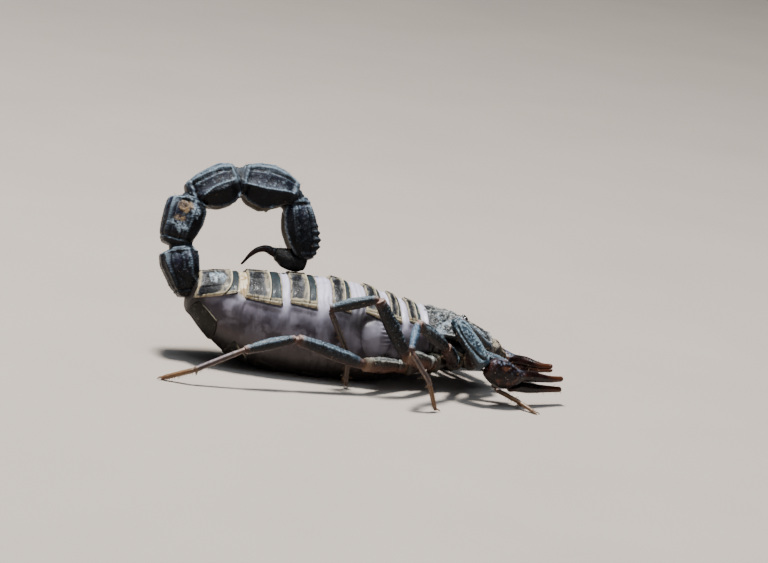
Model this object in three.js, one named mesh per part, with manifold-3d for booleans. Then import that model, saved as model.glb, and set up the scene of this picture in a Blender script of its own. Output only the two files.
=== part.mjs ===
// Gravid female black fat-tailed scorpion (Androctonus), life size, resting on its belly.
// Units are millimetres. +X runs towards the head, +Y to the animal's left, +Z up.
// The origin is on the floor, in the flat that the belly rests on.
import * as THREE from 'three';
import { mergeVertices } from 'three/addons/utils/BufferGeometryUtils.js';
import Module from 'manifold-3d';

const wasm = await Module();
wasm.setup();

// ---- driving dimensions ---------------------------------------------------------------

const jointGap = 0.12;        // clearance kept wherever one piece meets the next
const plateThickness = 0.5;   // dorsal plates of the abdomen
const tipRadius = 0.27;       // thinnest half-thickness of claws and finger tips

// soft abdomen: station x, underside z, top z, half-width, height of the widest line
const trunkStations = [
  { x: -26.9, low: 8.6, high: 12.2, half: 2.2, waist: 10.3 },
  { x: -25.6, low: 7.0, high: 13.3, half: 3.5, waist: 10.6 },
  { x: -23.0, low: 4.2, high: 14.0, half: 5.1, waist: 9.8 },
  { x: -19.5, low: 1.5, high: 14.3, half: 6.4, waist: 8.8 },
  { x: -15.0, low: 0.2, high: 14.6, half: 7.4, waist: 8.0 },
  { x: -9.0, low: -0.7, high: 14.8, half: 8.1, waist: 7.5 },
  { x: -3.0, low: -0.8, high: 14.7, half: 8.4, waist: 7.3 },
  { x: 3.0, low: -0.5, high: 13.8, half: 8.0, waist: 7.2 },
  { x: 7.0, low: 0.5, high: 12.8, half: 7.1, waist: 7.2 },
  { x: 9.6, low: 1.8, high: 12.2, half: 6.3, waist: 7.4 },
  { x: 11.1, low: 3.0, high: 11.8, half: 5.7, waist: 7.6 },
];
const trunkSides = 26;        // points round each of its rings
const trunkFullness = 2.25;   // superellipse power of the abdomen's section

// dorsal plates, from the seventh (at the tail) to the first, as x ranges
const tergites = [
  { name: 'tergite_7', from: -25.4, to: -20.1 },
  { name: 'tergite_6', from: -18.7, to: -12.5 },
  { name: 'tergite_5', from: -11.1, to: -6.9 },
  { name: 'tergite_4', from: -4.6, to: -1.8 },
  { name: 'tergite_3', from: 0.6, to: 3.1 },
  { name: 'tergite_2', from: 4.9, to: 7.2 },
  { name: 'tergite_1', from: 8.6, to: 10.7 },
];
const tergiteReach = 0.62;    // plate edge, as a share of the quarter turn from the ridge
const tergiteColumns = 8;     // flats across each plate

// prosoma: station x, underside z, top z, half-width
const prosomaStations = [
  { x: 11.4, low: 4.4, high: 12.2, half: 5.8 },
  { x: 14.5, low: 3.4, high: 11.8, half: 5.7 },
  { x: 17.0, low: 3.1, high: 11.0, half: 5.3 },
  { x: 19.2, low: 3.3, high: 10.2, half: 4.7 },
  { x: 21.2, low: 4.0, high: 9.5, half: 4.0 },
  { x: 22.6, low: 5.2, high: 8.7, half: 3.3 },
];
// the head's cross-section: [share of the half-width, height], where the height is a drop
// from the top, then a rise from the eaves, then a rise from the underside
const prosomaSection = {
  shoulder: [0.62, 0.75], brow: 0.05, rim: [1, 0.5], flank: [0.93, -0.7], hip: [0.66, 0.5], keel: 0.3,
};
const ocularTubercle = { x: 17.6, height: 0.55, reach: 2.0, halfWidth: 1.1 };
const eye = { x: 17.8, side: 0.62, radius: 0.45, sunk: 0.05 };
const chelicera = {
  root: [21.8, 1.35, 6.9],
  tip: [25.2, 1.2, 5.3],
  section: [
    { t: 0, half: 1.1, above: 1.2, below: 1.2 },
    { t: 0.45, half: 1.2, above: 1.35, below: 1.25 },
    { t: 0.75, half: 0.8, above: 0.9, below: 0.8 },
    { t: 1, half: 0.35, above: 0.35, below: 0.35 },
  ],
};

// tail: each segment's length, its angle in the plane of the loop, and its section.
// ventral and dorsal give the outer and inner half-depth at evenly named stations.
const tailBase = new THREE.Vector3(-26.3, 0, 9.9);
const tailLean = 18;          // degrees that the loop leans to the animal's left
const tailSegments = [
  { name: 'metasoma_1', length: 8.1, angle: 109, width: 3.6,
    ventral: [1.5, 2.2, 2.7, 3.1, 2.7], dorsal: [1.1, 1.9, 2.6, 3.0, 2.3] },
  { name: 'metasoma_2', length: 8.2, angle: 85, width: 3.6,
    ventral: [2.5, 2.9, 2.9, 2.8, 2.3], dorsal: [1.6, 2.8, 3.6, 3.8, 2.6] },
  { name: 'metasoma_3', length: 8.9, angle: 27, width: 3.55,
    ventral: [1.7, 2.3, 2.7, 2.9, 2.0], dorsal: [1.7, 2.9, 4.1, 4.2, 2.6] },
  { name: 'metasoma_4', length: 10.15, angle: -11, width: 3.45,
    ventral: [1.8, 2.8, 3.2, 2.7, 1.5], dorsal: [2.2, 4.0, 4.5, 3.0, 1.5] },
  { name: 'metasoma_5', length: 10.65, angle: -81.5, width: 3.0,
    ventral: [1.2, 1.9, 2.4, 2.4, 1.5], dorsal: [1.5, 2.8, 3.1, 2.4, 1.1] },
];
const tailStations = [0.03, 0.25, 0.5, 0.75, 0.98];
const tailSpread = [0.6, 0.93, 1, 1, 0.78];      // share of the width at each station
const telson = { angle: 170, length: 4.7, halfWidth: 1.95 };

// legs: hip, and for each segment its length, half-depth, half-width, heading and pitch.
// heading is measured from +X outwards, pitch upwards, both in degrees.
const legSizes = {
  1: { femur: 5.5, patella: 6.4, tibia: 4.4, basitarsus: 4.6, telotarsus: 3.6, thick: 0.82 },
  2: { femur: 7.0, patella: 9.4, tibia: 5.6, basitarsus: 5.6, telotarsus: 5.0, thick: 0.9 },
  3: { femur: 8.6, patella: 10.5, tibia: 8.0, basitarsus: 8.3, telotarsus: 5.0, thick: 1.0 },
  4: { femur: 10.3, patella: 11.8, tibia: 8.7, basitarsus: 8.5, telotarsus: 5.2, thick: 1.0 },
};
const hips = {
  1: { x: 19.4, y: 3.6, z: 4.8 },
  2: { x: 16.6, y: 4.6, z: 4.7 },
  3: { x: 13.0, y: 5.2, z: 4.4 },
  4: { x: 8.4, y: 5.8, z: 3.7 },
};
// the leg bases run out to the hips from a row of starts along the breast
const breast = { x: 16.2, y: 0.9, z: 4.4, pitch: 1.1 };
const coxaSection = [
  { t: 0, half: 0.9, above: 1.0, below: 1.0 },
  { t: 0.5, half: 1.15, above: 1.35, below: 1.25 },
  { t: 0.94, half: 1.25, above: 1.45, below: 1.35 },
  { t: 1.02, half: 0.95, above: 1.1, below: 1.05 },
];
const legPoses = {
  right: {
    1: [[108, 30], [4, -12], [164, -64], [36, -13], [42, -24]],
    2: [[118, 30], [138, 30], [106, -40], [-2, -52], [-12, -60]],
    3: [[134, 14], [169, 58], [-165, -20], [-10, -60], [-55, -58]],
    4: [[140, 6], [171, 17], [168, -15], [173, -26], [196, -24]],
  },
  left: {
    1: [[118, -8], [92, -4], [50, -12], [25, -20], [10, -34]],
    2: [[118, 14], [100, 8], [72, -34], [52, -40], [44, -44]],
    3: [[104, 12], [112, 12], [126, -22], [142, -32], [152, -40]],
    4: [[104, 16], [132, 14], [176, -24], [214, -30], [226, -30]],
  },
};

// pedipalps: shoulder, elbow, wrist, hand and finger points, y outwards, with the opening
// between the fingers and the hand's depth as a share of its usual one
const palps = {
  right: { shoulder: [21.6, 4.0, 7.0], elbow: [15.0, 9.6, 12.3], wrist: [19.9, 12.4, 6.3],
    palm: [25.4, 10.5, 4.15], tip: [33.8, 6.1, 3.1], gape: 1.9, depth: 1.08 },
  left: { shoulder: [21.6, 4.0, 7.0], elbow: [17.6, 11.0, 5.7], wrist: [24.2, 12.8, 2.4],
    palm: [28.4, 9.2, 2.3], tip: [33.9, 3.0, 3.4], gape: 0.6, depth: 0.92 },
};

// the fingers' half-thickness from palm to blunt tip, and how far the tips hook upwards
const fingers = { radii: [1.0, 0.85, 0.7, 0.6, 0.52, 0.4], hook: 0.2 };

// ---- materials ------------------------------------------------------------------------

function finish(color, roughness) {
  return new THREE.MeshStandardMaterial({ color, roughness, metalness: 0 });
}
const materials = {
  cuticle: finish(0x1c2126, 0.35),
  carapace: finish(0x34393d, 0.5),
  plate: finish(0x565c60, 0.5),
  membrane: finish(0x7d7683, 0.45),
  limb: finish(0x23272c, 0.4),
  tarsus: finish(0x8a5a2a, 0.5),
  finger: finish(0x6b2a18, 0.35),
  eye: finish(0x050506, 0.1),
};

// ---- solids ---------------------------------------------------------------------------

const rad = THREE.MathUtils.degToRad;
const zAxis = new THREE.Vector3(0, 0, 1);

function sideFaces(rings) {
  const count = rings[0].length;
  const index = [];
  for (let r = 0; r + 1 < rings.length; r += 1) {
    for (let i = 0; i < count; i += 1) {
      const a = r * count + i;
      const b = r * count + ((i + 1) % count);
      index.push(a, a + count, b, b, a + count, b + count);
    }
  }
  return index;
}

function geometryOf(positions, index) {
  const geometry = new THREE.BufferGeometry();
  geometry.setAttribute('position', new THREE.Float32BufferAttribute(positions, 3));
  geometry.setIndex(index);
  return geometry;
}

function meshFromRings(rings) {
  // closed skin over equal rings, each turning clockwise seen from ahead, fans at the ends
  const count = rings[0].length;
  const positions = rings.flat().flatMap((point) => point.toArray());
  const index = sideFaces(rings);
  [0, rings.length - 1].forEach((r, end) => {
    const centre = rings[r].reduce((sum, p) => sum.add(p), new THREE.Vector3());
    const hub = positions.length / 3;
    positions.push(...centre.divideScalar(count).toArray());
    for (let i = 0; i < count; i += 1) {
      const a = r * count + i;
      const b = r * count + ((i + 1) % count);
      index.push(hub, end ? b : a, end ? a : b);
    }
  });
  return geometryOf(positions, index);
}

function meshFromArches(rings) {
  // closed curved plate: each ring runs along its upper face and back along its lower one
  const count = rings[0].length;
  const positions = rings.flat().flatMap((point) => point.toArray());
  const index = sideFaces(rings);
  [0, rings.length - 1].forEach((r, end) => {
    for (let i = 0; i < count / 2 - 1; i += 1) {
      const [a, b] = [r * count + i, r * count + i + 1];
      const [c, d] = [r * count + count - 2 - i, r * count + count - 1 - i];
      if (end) index.push(a, d, b, b, d, c);
      else index.push(a, b, d, b, c, d);
    }
  });
  return geometryOf(positions, index);
}

function solidFrom(geometry) {
  geometry.deleteAttribute('normal');
  geometry.deleteAttribute('uv');
  const merged = mergeVertices(geometry);
  return new wasm.Manifold(new wasm.Mesh({
    numProp: 3,
    vertProperties: new Float32Array(merged.attributes.position.array),
    triVerts: new Uint32Array(merged.index.array),
  }));
}

function geometryFrom(solid) {
  const bodies = solid.decompose();
  const largest = bodies.reduce((best, body) => (body.volume() > best.volume() ? body : best));
  const mesh = largest.getMesh();
  const geometry = geometryOf(mesh.vertProperties, Array.from(mesh.triVerts));
  geometry.computeVertexNormals();
  return geometry;
}

function frameAlong(from, to, up) {
  const along = to.clone().sub(from).normalize();
  const side = new THREE.Vector3().crossVectors(along, up).normalize();
  return { along, side, up: new THREE.Vector3().crossVectors(side, along) };
}

function sidePoint([x, y, z], sign) {
  return new THREE.Vector3(x, sign * y, z);
}

function ovalRing(sides, power) {
  // superellipse through the four axis points, as [side, up] pairs of unit size
  const ring = [];
  for (let i = 0; i < sides; i += 1) {
    const turn = (2 * Math.PI * (i + 0.5)) / sides;
    const round = (value) => Math.sign(value) * Math.abs(value) ** (2 / power);
    ring.push([round(Math.cos(turn)), round(Math.sin(turn))]);
  }
  return ring;
}

function limb(from, to, up, stations, ring, grow = 0) {
  // stations: t along the length, half-width, depth above and below the line, lift
  const { along, side, up: top } = frameAlong(from, to, up);
  const length = from.distanceTo(to);
  const last = stations.length - 1;
  const rings = stations.map((s, i) => {
    const reach = i === 0 ? -grow : (i === last ? grow : 0);
    const centre = from.clone().addScaledVector(along, s.t * length + reach);
    return ring.map(([across, height]) => {
      const depth = (height > 0 ? s.above : s.below) + grow;
      return centre.clone()
        .addScaledVector(side, across * (s.half + grow))
        .addScaledVector(top, height * depth + (s.lift ?? 0));
    });
  });
  return solidFrom(meshFromRings(rings));
}

function sweep(points, up, radii, ring, grow = 0) {
  // tapering horn along a smooth curve through the points
  const curve = new THREE.CatmullRomCurve3(points);
  const steps = radii.length - 1;
  const rings = radii.map((radius, i) => {
    const t = i / steps;
    const centre = curve.getPointAt(t);
    const along = curve.getTangentAt(t);
    if (i === 0) centre.addScaledVector(along, -grow);
    const side = new THREE.Vector3().crossVectors(along, up).normalize();
    const top = new THREE.Vector3().crossVectors(side, along);
    return ring.map(([across, height]) => centre.clone()
      .addScaledVector(side, across * (radius + grow))
      .addScaledVector(top, height * (radius + grow)));
  });
  return solidFrom(meshFromRings(rings));
}

function aboveFloor(solid) {
  const size = 200;
  const room = solidFrom(new THREE.BoxGeometry(size, size, size).translate(0, 0, size / 2));
  return solid.intersect(room);
}

// ---- abdomen --------------------------------------------------------------------------

function trunkPoint(station, turn, grow) {
  // turn 0 is the ridge of the back, a half turn is the middle of the belly
  const power = 2 / trunkFullness;
  const up = Math.cos(turn);
  const across = Math.sin(turn);
  const reach = up > 0 ? station.high - station.waist : station.waist - station.low;
  const bend = (value) => Math.sign(value) * Math.abs(value) ** power;
  return new THREE.Vector3(
    station.x,
    bend(across) * (station.half + grow),
    station.waist + bend(up) * (reach + grow),
  );
}

function trunkStationAt(x) {
  const next = trunkStations.findIndex((s) => s.x >= x);
  const b = trunkStations[Math.max(next, 1)];
  const a = trunkStations[Math.max(next, 1) - 1];
  const t = (x - a.x) / (b.x - a.x);
  const mix = (key) => THREE.MathUtils.lerp(a[key], b[key], t);
  return { x, low: mix('low'), high: mix('high'), half: mix('half'), waist: mix('waist') };
}

function trunkSolid(grow = 0) {
  const rings = trunkStations.map((station, i) => {
    const ring = [];
    for (let k = 0; k < trunkSides; k += 1) {
      ring.push(trunkPoint(station, (2 * Math.PI * k) / trunkSides, grow));
    }
    if (i === 0) ring.forEach((p) => { p.x -= grow; });
    return ring;
  });
  return aboveFloor(solidFrom(meshFromRings(rings)));
}

function tergiteSolid({ from, to }, grow = 0) {
  // arched plate that follows the abdomen, with its underside just clear of it
  const columns = tergiteColumns;
  const edge = tergiteReach * (Math.PI / 2);
  const stations = [from, ...trunkStations.map((s) => s.x).filter((x) => x > from && x < to), to];
  const rings = stations.map((x) => {
    const station = trunkStationAt(x);
    const arch = (height) => Array.from({ length: columns + 1 }, (_, k) => (
      trunkPoint(station, edge * ((2 * k) / columns - 1), height)));
    return [...arch(jointGap + plateThickness + grow), ...arch(jointGap - grow).reverse()];
  });
  return solidFrom(meshFromArches(rings));
}

// ---- prosoma --------------------------------------------------------------------------

function prosomaRing({ x, low, high, half }, grow) {
  // domed carapace over steeper flanks that draw in to the leg bases
  const eaves = low + (high - low) * 0.5;
  const lump = Math.max(0, 1 - ((x - ocularTubercle.x) / ocularTubercle.reach) ** 2);
  const crown = high + ocularTubercle.height * lump;
  const { shoulder, brow, rim, flank, hip, keel } = prosomaSection;
  const outline = [
    [0, crown],
    [ocularTubercle.halfWidth, high - brow],
    [half * shoulder[0], high - shoulder[1]],
    [half * rim[0], eaves + rim[1]],
    [half * flank[0], eaves + flank[1]],
    [half * hip[0], low + hip[1]],
    [half * keel, low],
  ];
  const mirrored = outline.slice(1).reverse().map(([y, z]) => [-y, z]);
  const middle = (low + high) / 2;
  return [...outline, ...mirrored].map(([y, z]) => new THREE.Vector3(
    x,
    y + Math.sign(y) * grow,
    z + Math.sign(z - middle) * grow,
  ));
}

function coxaSolid(leg, sign, grow) {
  const hip = hips[leg];
  const to = new THREE.Vector3(hip.x, sign * hip.y, hip.z);
  const ahead = (2.5 - leg) * breast.pitch;
  const from = new THREE.Vector3(breast.x + ahead, sign * breast.y, breast.z);
  return limb(from, to, zAxis, coxaSection, ovalRing(8, 2.6), grow);
}

function prosomaSolid(grow = 0) {
  const last = prosomaStations.length - 1;
  const rings = prosomaStations.map((station, i) => {
    const shift = i === 0 ? -grow : (i === last ? grow : 0);
    return prosomaRing(station, grow).map((p) => p.setX(p.x + shift));
  });
  let solid = solidFrom(meshFromRings(rings));
  for (const sign of [-1, 1]) {
    for (const leg of [1, 2, 3, 4]) solid = solid.add(coxaSolid(leg, sign, grow));
  }
  return solid;
}

function eyeSolid(sign, cutter) {
  const z = prosomaTopAt(eye.x) - eye.sunk;
  const ball = new THREE.SphereGeometry(eye.radius, 10, 8).translate(eye.x, sign * eye.side, z);
  return solidFrom(ball).subtract(cutter);
}

function prosomaTopAt(x) {
  const next = prosomaStations.findIndex((s) => s.x >= x);
  const a = prosomaStations[next - 1];
  const b = prosomaStations[next];
  return THREE.MathUtils.mapLinear(x, a.x, b.x, a.high, b.high);
}

function cheliceraSolid(sign, cutter) {
  const from = sidePoint(chelicera.root, sign);
  const to = sidePoint(chelicera.tip, sign);
  return limb(from, to, zAxis, chelicera.section, ovalRing(8, 2.4)).subtract(cutter);
}

// ---- tail -----------------------------------------------------------------------------

const leanUp = new THREE.Vector3(0, Math.sin(rad(tailLean)), Math.cos(rad(tailLean)));
const leanSide = new THREE.Vector3(0, -Math.cos(rad(tailLean)), Math.sin(rad(tailLean)));

function loopDirection(angle) {
  return new THREE.Vector3(1, 0, 0).multiplyScalar(Math.cos(rad(angle)))
    .addScaledVector(leanUp, Math.sin(rad(angle)));
}

// half section of a keeled tail segment: [across, height], up is the inside of the loop
const keeledHalf = [
  [0, -0.94], [0.3, -1], [0.7, -0.84], [0.86, -0.2], [1, 0.3], [0.66, 1], [0.4, 0.8],
];
const keeledRing = [
  ...keeledHalf,
  [0, 0.72],
  ...keeledHalf.slice(1).reverse().map(([across, height]) => [-across, height]),
];

function tailSegmentSolid(segment, from, to, grow = 0) {
  const inside = new THREE.Vector3().crossVectors(
    loopDirection(segment.angle), leanSide,
  );
  const stations = tailStations.map((t, i) => ({
    t,
    half: segment.width * tailSpread[i],
    above: segment.dorsal[i],
    below: segment.ventral[i],
  }));
  return limb(from, to, inside, stations, keeledRing, grow);
}

function vesicleSolid(from, grow = 0) {
  const direction = loopDirection(telson.angle);
  const to = from.clone().addScaledVector(direction, telson.length);
  const belly = new THREE.Vector3().crossVectors(direction, leanSide);
  const stations = [
    { t: -0.12, half: 1.0, above: 0.9, below: 1.1 },
    { t: 0.1, half: 1.6, above: 1.3, below: 1.9 },
    { t: 0.4, half: telson.halfWidth, above: 1.5, below: 1.95 },
    { t: 0.7, half: 1.6, above: 1.35, below: 1.75 },
    { t: 1, half: 0.9, above: 0.9, below: 0.75, lift: 0.1 },
  ];
  return limb(from, to, belly, stations, ovalRing(12, 2.2), grow);
}

function stingSolid(from) {
  const start = from.clone().addScaledVector(loopDirection(telson.angle), telson.length - 0.4);
  const at = (forward, rise) => start.clone()
    .addScaledVector(new THREE.Vector3(-1, 0, 0), forward)
    .addScaledVector(leanUp, rise);
  const points = [at(0, 0), at(1, 0.6), at(2.5, 0.7), at(4.2, -0.45), at(5.3, -1.95)];
  return sweep(points, leanSide, [0.85, 0.72, 0.58, 0.48, 0.4, 0.33, tipRadius], ovalRing(8, 2));
}

// ---- limbs ----------------------------------------------------------------------------

function step(from, length, heading, pitch, sign) {
  const flat = Math.cos(rad(pitch)) * length;
  return from.clone().add(new THREE.Vector3(
    flat * Math.cos(rad(heading)),
    sign * flat * Math.sin(rad(heading)),
    Math.sin(rad(pitch)) * length,
  ));
}

const legSections = {
  femur: [
    { t: -0.02, half: 0.85, above: 1.0, below: 1.0 },
    { t: 0.12, half: 1.0, above: 1.2, below: 1.2 },
    { t: 0.2, half: 0.8, above: 0.95, below: 1.0 },
    { t: 0.55, half: 0.95, above: 1.35, below: 1.45 },
    { t: 0.98, half: 0.8, above: 1.05, below: 1.05 },
  ],
  patella: [
    { t: 0, half: 0.6, above: 0.75, below: 0.7 },
    { t: 0.14, half: 0.85, above: 1.15, below: 1.05 },
    { t: 0.55, half: 0.95, above: 1.25, below: 1.2 },
    { t: 0.99, half: 0.75, above: 0.85, below: 0.95 },
  ],
  tibia: [
    { t: 0, half: 0.5, above: 0.6, below: 0.55 },
    { t: 0.2, half: 0.65, above: 0.85, below: 0.75 },
    { t: 0.6, half: 0.65, above: 0.9, below: 0.75 },
    { t: 0.99, half: 0.55, above: 0.62, below: 0.68 },
  ],
  basitarsus: [
    { t: 0, half: 0.42, above: 0.42, below: 0.42 },
    { t: 0.25, half: 0.46, above: 0.5, below: 0.48 },
    { t: 1, half: 0.44, above: 0.46, below: 0.5 },
  ],
  telotarsus: [
    { t: -0.08, half: 0.4, above: 0.42, below: 0.42 },
    { t: 0.6, half: 0.42, above: 0.42, below: 0.46 },
    { t: 1, half: 0.36, above: 0.28, below: 0.3 },
  ],
};
const legOrder = ['femur', 'patella', 'tibia', 'basitarsus', 'telotarsus'];

function legSegmentSolid(name, from, to, thick, grow = 0) {
  const sides = name === 'basitarsus' || name === 'telotarsus' ? 6 : 8;
  const stations = legSections[name].map((s) => ({
    t: s.t, half: s.half * thick, above: s.above * thick, below: s.below * thick,
  }));
  const steep = Math.abs(to.z - from.z) > 0.94 * from.distanceTo(to);
  const up = steep ? new THREE.Vector3(1, 0, 0.2) : zAxis;
  return limb(from, to, up, stations, ovalRing(sides, 2.3), grow);
}

function legJoints(leg, side) {
  const sign = side === 'left' ? 1 : -1;
  const hip = hips[leg];
  const joints = [new THREE.Vector3(hip.x, sign * hip.y, hip.z)];
  legOrder.forEach((name, i) => {
    const [heading, pitch] = legPoses[side][leg][i];
    joints.push(step(joints[i], legSizes[leg][name], heading, pitch, sign));
  });
  // the foot lands on the floor: its tip is dropped or raised to just above it
  const ankle = joints[4];
  const toe = joints[5];
  const landed = tipRadius * 0.8;
  toe.z = landed;
  const flat = Math.sqrt(Math.max(0.2, legSizes[leg].telotarsus ** 2 - (ankle.z - landed) ** 2));
  const run = new THREE.Vector2(toe.x - ankle.x, toe.y - ankle.y).setLength(flat);
  toe.x = ankle.x + run.x;
  toe.y = ankle.y + run.y;
  return joints;
}

function palpFemurSolid(from, to, up, grow = 0) {
  const stations = [
    { t: -0.08, half: 0.8, above: 0.8, below: 0.8 },
    { t: 0.1, half: 1.2, above: 1.1, below: 1.1 },
    { t: 0.2, half: 0.95, above: 0.9, below: 0.9 },
    { t: 0.6, half: 1.3, above: 1.15, below: 1.15 },
    { t: 1.02, half: 1.15, above: 1.0, below: 1.0 },
  ];
  return limb(from, to, up, stations, ovalRing(8, 3), grow);
}

function palpPatellaSolid(from, to, up, grow = 0) {
  const stations = [
    { t: -0.08, half: 0.9, above: 0.75, below: 0.75 },
    { t: 0.12, half: 1.3, above: 1.15, below: 1.05 },
    { t: 0.55, half: 1.4, above: 1.3, below: 1.15 },
    { t: 0.88, half: 1.3, above: 1.15, below: 1.05 },
    { t: 0.98, half: 0.95, above: 0.85, below: 0.85 },
  ];
  return limb(from, to, up, stations, ovalRing(8, 3), grow);
}

function handSolid([wrist, palm, tip], up, { gape, depth }, grow = 0) {
  const stations = [
    { t: 0.02, half: 0.75, above: 0.9, below: 0.8 },
    { t: 0.18, half: 1.4, above: 1.9, below: 1.6 },
    { t: 0.5, half: 1.75, above: 2.3, below: 2.1 },
    { t: 0.8, half: 1.6, above: 1.95, below: 1.8 },
    { t: 1.08, half: 1.05, above: 1.3, below: 0.5, lift: 0.3 },
  ].map((s) => ({ ...s, above: s.above * depth, below: s.below * depth }));
  const manus = limb(wrist, palm, up, stations, ovalRing(10, 2.4), grow);
  return manus.add(fingerSolid(palm, tip, up, gape / 2, grow));
}

function fingerSolid(palm, tip, up, rise, grow = 0) {
  // slender finger that stands off its fellow by rise and bows a little more midway
  const run = tip.clone().sub(palm);
  const root = Math.sign(rise) * 0.5 + rise * 0.35;
  const at = (t, height) => palm.clone().addScaledVector(run, t).addScaledVector(up, height);
  const points = [
    at(-0.12, root), at(0.35, root + rise * 0.2), at(0.7, rise * 0.9), at(1, rise + fingers.hook),
  ];
  return sweep(points, up, fingers.radii, ovalRing(8, 2.2), grow);
}

// ---- assembly -------------------------------------------------------------------------

const scorpion = new THREE.Group();

function addNode(name, solid, material) {
  const node = new THREE.Mesh(geometryFrom(solid), materials[material]);
  node.name = name;
  scorpion.add(node);
}

function addTail(trunkRoom) {
  let from = tailBase.clone();
  let room = trunkRoom;
  for (const segment of tailSegments) {
    const to = from.clone().addScaledVector(loopDirection(segment.angle), segment.length);
    addNode(segment.name, tailSegmentSolid(segment, from, to).subtract(room), 'cuticle');
    room = tailSegmentSolid(segment, from, to, jointGap);
    from = to;
  }
  addNode('telson_vesicle', vesicleSolid(from).subtract(room), 'cuticle');
  addNode('telson_sting', stingSolid(from).subtract(vesicleSolid(from, jointGap)), 'finger');
}

function addLeg(leg, side, bodyRoom) {
  const joints = legJoints(leg, side);
  const { thick } = legSizes[leg];
  const segment = (i, grow) => legSegmentSolid(legOrder[i], joints[i], joints[i + 1], thick, grow);
  let room = bodyRoom;
  for (let i = 0; i < 3; i += 1) {
    addNode(`leg_${leg}_${side}_${legOrder[i]}`, segment(i).subtract(room), 'limb');
    room = segment(i, jointGap);
  }
  const tarsus = aboveFloor(segment(3).add(segment(4))).subtract(room);
  addNode(`leg_${leg}_${side}_tarsus`, tarsus, 'tarsus');
}

function addPedipalp(side, bodyRoom) {
  const sign = side === 'left' ? 1 : -1;
  const palp = palps[side];
  const [shoulder, elbow, wrist, palm, tip] = ['shoulder', 'elbow', 'wrist', 'palm', 'tip']
    .map((point) => sidePoint(palp[point], sign));
  const reach = [wrist, palm, tip];
  const outward = new THREE.Vector3(0, sign, 0.6).normalize();
  const above = new THREE.Vector3(0, 0.15 * sign, 1).normalize();
  const femurRoom = palpFemurSolid(shoulder, elbow, outward, jointGap);
  const patellaRoom = palpPatellaSolid(elbow, wrist, outward, jointGap);
  const handRoom = handSolid(reach, above, palp, jointGap);
  const femur = palpFemurSolid(shoulder, elbow, outward).subtract(bodyRoom);
  const patella = palpPatellaSolid(elbow, wrist, outward).subtract(femurRoom);
  const hand = handSolid(reach, above, palp).subtract(patellaRoom);
  const finger = fingerSolid(palm, tip, above, -palp.gape / 2);
  addNode(`pedipalp_${side}_femur`, femur, 'limb');
  addNode(`pedipalp_${side}_patella`, patella, 'limb');
  addNode(`pedipalp_${side}_hand`, hand, 'finger');
  addNode(`pedipalp_${side}_movable_finger`, finger.subtract(handRoom), 'finger');
}

const prosomaRoom = prosomaSolid(jointGap);
const trunkRoom = trunkSolid(jointGap);
const bodyRoom = prosomaRoom.add(trunkRoom);

addNode('prosoma', prosomaSolid(), 'carapace');
addNode('trunk', trunkSolid().subtract(prosomaRoom), 'membrane');
for (const plate of tergites) addNode(plate.name, tergiteSolid(plate), 'plate');
addTail(trunkRoom.add(tergiteSolid(tergites[0], jointGap)));
for (const [side, sign] of [['left', 1], ['right', -1]]) {
  addNode(`eye_${side}`, eyeSolid(sign, prosomaRoom), 'eye');
  addNode(`chelicera_${side}`, cheliceraSolid(sign, prosomaRoom), 'carapace');
  addPedipalp(side, prosomaRoom);
  for (const leg of [1, 2, 3, 4]) addLeg(leg, side, bodyRoom);
}

export default scorpion;
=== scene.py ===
"""Looks of a gravid female black fat-tailed scorpion, a still life-size model on a plain floor.

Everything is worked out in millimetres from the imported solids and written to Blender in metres.
+X runs towards the head, +Y to the animal's left, +Z up; the floor is at zero.
"""
import math
from collections import defaultdict
from functools import lru_cache

import bpy
import numpy as np
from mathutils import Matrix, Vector
from mathutils.bvhtree import BVHTree


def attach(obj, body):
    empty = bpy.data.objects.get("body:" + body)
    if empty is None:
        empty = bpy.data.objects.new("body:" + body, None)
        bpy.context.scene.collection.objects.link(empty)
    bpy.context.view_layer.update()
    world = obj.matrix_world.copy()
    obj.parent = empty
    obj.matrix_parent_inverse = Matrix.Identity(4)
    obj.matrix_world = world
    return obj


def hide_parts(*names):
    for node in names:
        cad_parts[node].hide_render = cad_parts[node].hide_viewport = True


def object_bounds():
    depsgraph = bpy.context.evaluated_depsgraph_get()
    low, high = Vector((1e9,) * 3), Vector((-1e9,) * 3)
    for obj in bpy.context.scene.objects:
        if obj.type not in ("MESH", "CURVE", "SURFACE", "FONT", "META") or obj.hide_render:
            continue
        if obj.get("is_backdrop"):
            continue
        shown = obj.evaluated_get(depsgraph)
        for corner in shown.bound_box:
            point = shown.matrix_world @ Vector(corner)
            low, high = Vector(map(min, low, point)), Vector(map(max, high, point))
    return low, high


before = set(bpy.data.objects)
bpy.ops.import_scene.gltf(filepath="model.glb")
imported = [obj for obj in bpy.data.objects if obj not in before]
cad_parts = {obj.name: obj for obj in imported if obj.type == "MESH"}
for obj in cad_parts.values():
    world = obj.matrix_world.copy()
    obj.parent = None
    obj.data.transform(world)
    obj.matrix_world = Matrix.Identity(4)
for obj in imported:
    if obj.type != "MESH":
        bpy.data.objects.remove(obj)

MM = 0.001
CAD_LOW, CAD_HIGH = (np.array(corner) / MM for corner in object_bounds())
CAD_SIZE = CAD_HIGH - CAD_LOW
SIDES = {"left": 1, "right": -1}
LEGS = (1, 2, 3, 4)
SEAM = 0.3            # solids closer than this meet at a joint
FLOOR_CLEARANCE = 0.02
SKY = 40              # higher than any solid
OFF_SEAM = 0.02       # keeps an upright ray off the edges along the middle line
SCATTER = (0.7548777, 0.5698403)   # steps that spread points evenly over a square
FINE = 0.13           # mesh spacing on tail and pincers
LIMB_MESH = 0.12      # mesh spacing on the legs
CAP_RINGS = 6         # rings on the rounded end of a skin
WEATHER_STEPS = 5     # reach, in mesh steps, of the search for crests and pits
rng = np.random.default_rng(11)


# ---- small maths ------------------------------------------------------------------------

def unit(v):
    v = np.asarray(v, float)
    return v / np.maximum(np.linalg.norm(v, axis=-1, keepdims=True), 1e-12)


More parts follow.
